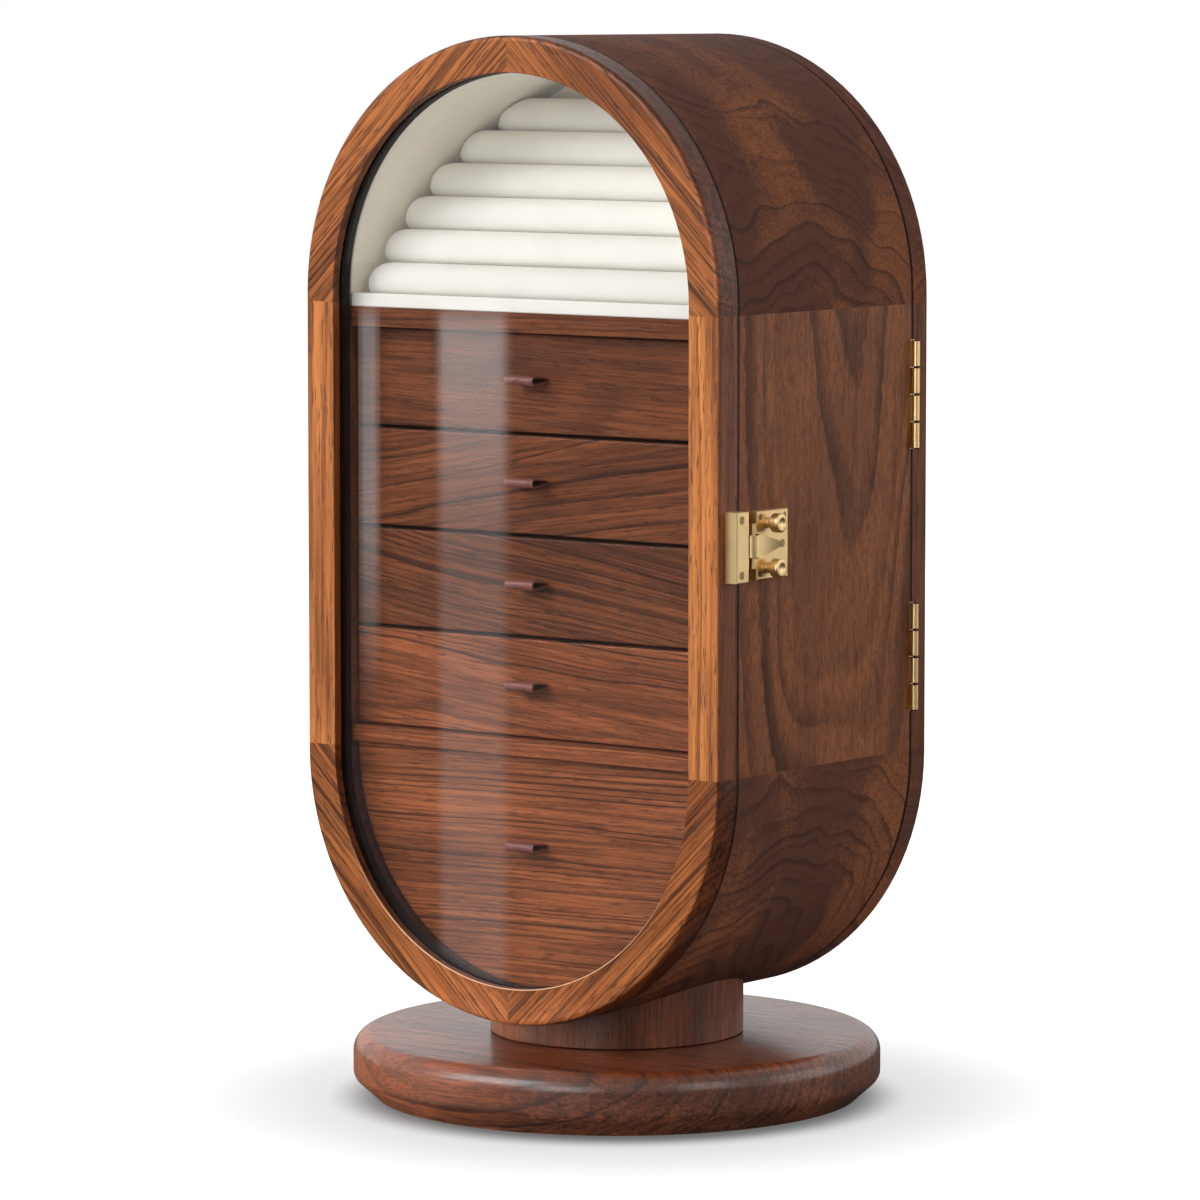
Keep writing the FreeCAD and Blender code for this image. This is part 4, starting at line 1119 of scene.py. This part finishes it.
class CABINET_OT_drawer_pads(bpy.types.Operator):
    """Lay a velvet pad in each drawer"""

    bl_idname = "cabinet.drawer_pads"
    bl_label = "Drawer pads"

    def execute(self, context):
        rise = context.scene.cabinet_soft.pad_rise
        low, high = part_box("drawer_1_box")
        pattern = self.flat_pad(context, low, high, rise)
        for count in FLAT_DRAWERS:
            body = "drawer_%d" % count
            copy_to(pattern, low[2], body + "_box")
            self.give(body)
        bpy.data.objects.remove(pattern)
        self.trough_pad(context, rise / 2)
        self.give("drawer_5")
        return {"FINISHED"}

    def give(self, body):
        """Hands the active pad over to its drawer."""
        hand_over(body + "_pad", cream_velvet(), body, "velvet", angle=50.0)

    def flat_pad(self, context, low, high, rise):
        """A pad with a crown, between the walls of a flat drawer."""
        half = high[0] - BOX_WALL - PAD_PLAY
        near, far = low[1] + PAD_PLAY, high[1] - BOX_WALL - PAD_PLAY
        base = low[2] + BOX_FLOOR + PAD_LIFT
        start_fresh()
        bpy.ops.mesh.primitive_cube_add(size=1.0, location=(0.0, (near + far) / 2, base + rise / 2))
        context.object.scale = (2 * half, far - near, rise)
        open_mesh()
        pick("EDGE", lambda place, line: abs(line.x) > ALONG)
        bpy.ops.mesh.subdivide(number_cuts=23)
        pick("EDGE", lambda place, line: abs(line.y) > ALONG)
        bpy.ops.mesh.subdivide(number_cuts=9)
        cage = bmesh.from_edit_mesh(context.object.data)
        for vertex in cage.verts:
            edge = min(half - abs(vertex.co.x), vertex.co.y - near, far - vertex.co.y)
            if vertex.co.z > base + rise / 2:
                vertex.co.z += PAD_CROWN * min(max(edge, 0.0) / PAD_SLOPE, 1.0) ** 0.5 - PAD_CROWN
        bmesh.update_edit_mesh(context.object.data)
        close_mesh()
        round_edges(PAD_EDGE, segments=3, turn=50.0)
        return context.object

    def trough_pad(self, context, rise):
        """A pad that follows the round floor of the bottom drawer up to both sides."""
        low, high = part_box("drawer_5_box")
        outer = high[0]
        middle = low[2] + outer
        floor = outer - BOX_WALL - PAD_LIFT
        spot = (0.0, (low[1] + high[1] - BOX_WALL) / 2, middle - floor + rise / 2)
        start_fresh()
        bpy.ops.mesh.primitive_plane_add(size=1.0, location=spot, rotation=(0.0, math.pi / 2, 0.0))
        context.object.scale = (rise, high[1] - low[1] - BOX_WALL - 2 * PAD_PLAY, 1.0)
        open_mesh()
        pick("VERT", lambda place, normal: place.z > spot[2])
        bpy.ops.mesh.bevel(offset=rise * 0.6, segments=4, affect="VERTICES")
        bpy.ops.mesh.select_all(action="SELECT")
        bpy.ops.transform.rotate(value=TROUGH_REACH, orient_axis="Y", center_override=(0.0, 0.0, middle))
        turn = 1.0 if self.leans_right(context) else -1.0
        bpy.ops.mesh.spin(
            steps=64, angle=2 * TROUGH_REACH, center=(0.0, 0.0, middle), axis=(0.0, turn, 0.0)
        )
        close_mesh()

    def leans_right(self, context):
        cage = bmesh.from_edit_mesh(context.object.data)
        return sum(vertex.co.x for vertex in cage.verts) > 0


class CABINET_OT_base_felt(bpy.types.Operator):
    """Cut the felt disc under the base"""

    bl_idname = "cabinet.base_felt"
    bl_label = "Base felt"

    def execute(self, context):
        low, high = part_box("base_felt_pad")
        start_fresh()
        bpy.ops.mesh.primitive_circle_add(
            vertices=128, radius=high[0], fill_type="NGON", location=(0.0, 0.0, low[2])
        )
        open_mesh()
        extrude(z=high[2] - low[2])
        close_mesh()
        round_edges(context.scene.cabinet_soft.felt_round, segments=3, turn=50.0)
        cloth = velvet("base_felt", tuple(context.scene.cabinet_trim.felt), contrast=0.35, sheen=0.1)
        piece = hand_over("base_felt", cloth, "base", "felt", "base_felt_pad")
        return {"FINISHED"}


def area_light(name, place, aim, size, power):
    """A soft rectangular light that the camera doesn't see."""
    lamp = bpy.data.lights.new(name, "AREA")
    lamp.shape = "RECTANGLE"
    lamp.size, lamp.size_y = size
    lamp.energy = power
    made = bpy.data.objects.new(name, lamp)
    made.location = place
    made.rotation_euler = (Vector(aim) - Vector(place)).to_track_quat("-Z", "Y").to_euler()
    made.visible_camera = False
    bpy.context.scene.collection.objects.link(made)
    return made


def panel_power(glow, size):
    """The power that gives a panel its brightness."""
    return glow * math.pi * size[0] * size[1]


def straight_sight(tree, path):
    """1 for a ray from the camera, also one that went through glass, but not for one that was mirrored."""
    mirrored = minus(tree, path["Ray Depth"], path["Transmission Depth"])
    through = times(tree, path["Is Transmission Ray"], calc(tree, "LESS_THAN", mirrored, 0.5))
    return calc(tree, "MAXIMUM", path["Is Camera Ray"], through)


class CABINET_OT_stage(bpy.types.Operator):
    """Set the floor, the soft light and the camera"""

    bl_idname = "cabinet.stage"
    bl_label = "Stage"

    def execute(self, context):
        scene = context.scene
        setup = scene.cabinet_stage
        self.floor(context)
        self.surroundings(scene, setup)
        self.lamps(setup)
        self.strips(setup)
        self.camera(scene, setup)
        scene.view_settings.view_transform = "Standard"
        return {"FINISHED"}

    def floor(self, context):
        """A pale floor that fades into white from a painted soft shadow round the base, and that gloss sees as
        dark cloth.
        """
        start_fresh()
        bpy.ops.mesh.primitive_circle_add(vertices=128, radius=9.0, fill_type="TRIFAN", location=(0, 0, 0))
        floor = context.object
        floor.name = "studio_floor"
        made, tree, shader, place = new_material("studio_floor")
        path = put(tree, "ShaderNodeLightPath").outputs
        pale, dark = solid((0.14, 0.14, 0.141)), solid((0.05, 0.05, 0.05))
        feed(tree, blend(tree, path["Is Glossy Ray"], pale, dark), shader.inputs["Base Color"])
        set_inputs(shader, {"Roughness": 0.7, "Specular IOR Level": 0.1, "Emission Color": WHITE})
        # The glow is dim right round the base and rises outwards: a painted contact shadow on the floor
        reach = arrow(tree, "LENGTH", place["Object"])
        core = ramp(tree, reach, 0.112, 0.14, to_low=0.15, to_high=0.64)
        glow = plus(tree, core, ramp(tree, reach, 0.115, 0.28, to_high=0.42))
        seen = times(tree, glow, straight_sight(tree, path))
        bounced = times(tree, path["Is Diffuse Ray"], 0.35)
        feed(tree, plus(tree, seen, bounced), shader.inputs["Emission Strength"])
        floor.data.materials.append(made)

    def surroundings(self, scene, setup):
        """White behind the cabinet, dim in front of it."""
        world = bpy.data.worlds.new("studio")
        scene.world = world
        world.use_nodes = True
        tree = world.node_tree
        sky = tree.nodes["Background"]
        behind = (-math.sin(setup.azimuth), math.cos(setup.azimuth), 0.25)
        place = put(tree, "ShaderNodeTexCoord").outputs
        toward = arrow(tree, "DOT_PRODUCT", place["Generated"], behind)
        glow = ramp(tree, toward, -0.15, 0.6, to_low=0.12, to_high=0.8)
        path = put(tree, "ShaderNodeLightPath").outputs
        seen = calc(tree, "MAXIMUM", glow, straight_sight(tree, path))
        gloss = times(tree, path["Is Glossy Ray"], 0.45)
        feed(tree, calc(tree, "MAXIMUM", seen, gloss), sky.inputs["Strength"])
        set_inputs(sky, {"Color": WHITE})

    def lamps(self, setup):
        """The large lights, the cards and the low light on the base."""
        middle = (0.0, 0.0, 0.25)
        area_light("key_light", place=(-1.0, -2.3, 1.75), aim=middle, size=(2.0, 1.6), power=setup.key)
        area_light("fill_light", place=(2.4, -0.5, 1.1), aim=middle, size=(1.0, 1.6), power=setup.fill)
        rear = area_light("rear_light", place=(-1.5, 2.2, 0.7), aim=middle, size=(1.6, 1.2), power=setup.rear)
        rear.visible_glossy = False
        for name, place, size, glow in (
            ("brass_card", (1.9, 1.5, 0.72), (1.6, 1.5), setup.card),
            ("front_card", (0.6, -2.5, 0.75), (1.0, 1.3), setup.front),
        ):
            area_light(name, place, middle, size, panel_power(glow, size))
        low = area_light(
            "low_light", place=(-0.75, -0.62, 0.05), aim=(-0.06, -0.05, 0.02), size=(0.25, 0.03),
            power=setup.low
        )
        low.data.spread = math.radians(6.0)
        low.visible_glossy = False

    def strips(self, setup):
        """The two strip lights: place across, width, share of brightness, and how they fade downwards."""
        height = STRIP_HEIGHT / 2 + STRIP_FOOT
        for name, x, width, share, fade in (
            ("narrow", -0.3133, 0.0140, 0.78, (0.13, 0.27, 0.0)),
            ("wide", -0.2429, 0.0528, 1.0, (0.215, 0.345, 0.26)),
        ):
            size = (width, STRIP_HEIGHT)
            power = panel_power(share * setup.strip, size)
            strip = area_light("strip_light_" + name, (x, STRIP_FRONT, height), (x, 0.0, height), size, power)
            strip.visible_diffuse = False
            self.soften(strip.data, x, width, *fade)

    def soften(self, lamp, x, width, low, high, least):
        """Lets a strip light fade towards its sides and its top, and from high to low to its least share."""
        lamp.use_nodes = True
        tree = lamp.node_tree
        spot = split(tree, put(tree, "ShaderNodeNewGeometry").outputs["Position"])
        aside = minus(tree, spot["X"], x)
        glow = ramp(tree, aside, -0.5 * width, -0.36 * width)
        glow = times(tree, glow, ramp(tree, aside, 0.5 * width, 0.3 * width))
        glow = times(tree, glow, ramp(tree, spot["Z"], low, high, to_low=least))
        glow = times(tree, glow, ramp(tree, spot["Z"], *STRIP_FADE))
        feed(tree, glow, tree.nodes["Emission"].inputs["Strength"])

    def camera(self, scene, setup):
        lens = bpy.data.cameras.new("camera")
        lens.lens = setup.lens
        lens.sensor_width = 36.0
        lens.clip_start = 0.05
        lens.clip_end = 60.0
        camera = bpy.data.objects.new("camera", lens)
        flat = math.cos(setup.elevation)
        back = Vector((
            math.sin(setup.azimuth) * flat, -math.cos(setup.azimuth) * flat, math.sin(setup.elevation)
        ))
        camera.location = Vector(setup.aim) + back * setup.distance
        camera.rotation_euler = (math.pi / 2 - setup.elevation, 0.0, setup.azimuth)
        scene.collection.objects.link(camera)
        scene.camera = camera


OPERATORS = (
    CABINET_OT_walnut, CABINET_OT_hardware, CABINET_OT_glazing, CABINET_OT_base, CABINET_OT_lining,
    CABINET_OT_tray, CABINET_OT_rolls, CABINET_OT_pulls, CABINET_OT_drawer_pads, CABINET_OT_base_felt,
    CABINET_OT_stage,
)


class CABINET_PT_pieces(bpy.types.Panel):
    """Lists what the cabinet is finished with"""

    bl_label = "Jewelry cabinet"
    bl_idname = "CABINET_PT_pieces"
    bl_space_type = "VIEW_3D"
    bl_region_type = "UI"
    bl_category = "Cabinet"

    def draw(self, context):
        for operator in OPERATORS:
            self.layout.operator(operator.bl_idname)


SETTINGS = {
    "cabinet_wood": CabinetWood, "cabinet_trim": CabinetTrim, "cabinet_soft": CabinetSoft,
    "cabinet_stage": CabinetStage,
}
CLASSES = (*SETTINGS.values(), *OPERATORS, CABINET_PT_pieces)


def register():
    for one in CLASSES:
        bpy.utils.register_class(one)
    for name, kind in SETTINGS.items():
        setattr(bpy.types.Scene, name, bpy.props.PointerProperty(type=kind))


def unregister():
    for name in SETTINGS:
        delattr(bpy.types.Scene, name)
    for one in reversed(CLASSES):
        bpy.utils.unregister_class(one)


def main():
    register()
    bpy.ops.cabinet.walnut()
    bpy.ops.cabinet.hardware()
    bpy.ops.cabinet.glazing()
    bpy.ops.cabinet.base()
    bpy.ops.cabinet.lining()
    bpy.ops.cabinet.tray()
    bpy.ops.cabinet.rolls()
    bpy.ops.cabinet.pulls()
    bpy.ops.cabinet.drawer_pads()
    bpy.ops.cabinet.base_felt()
    bpy.ops.cabinet.stage()


if __name__ == "__main__":
    main()
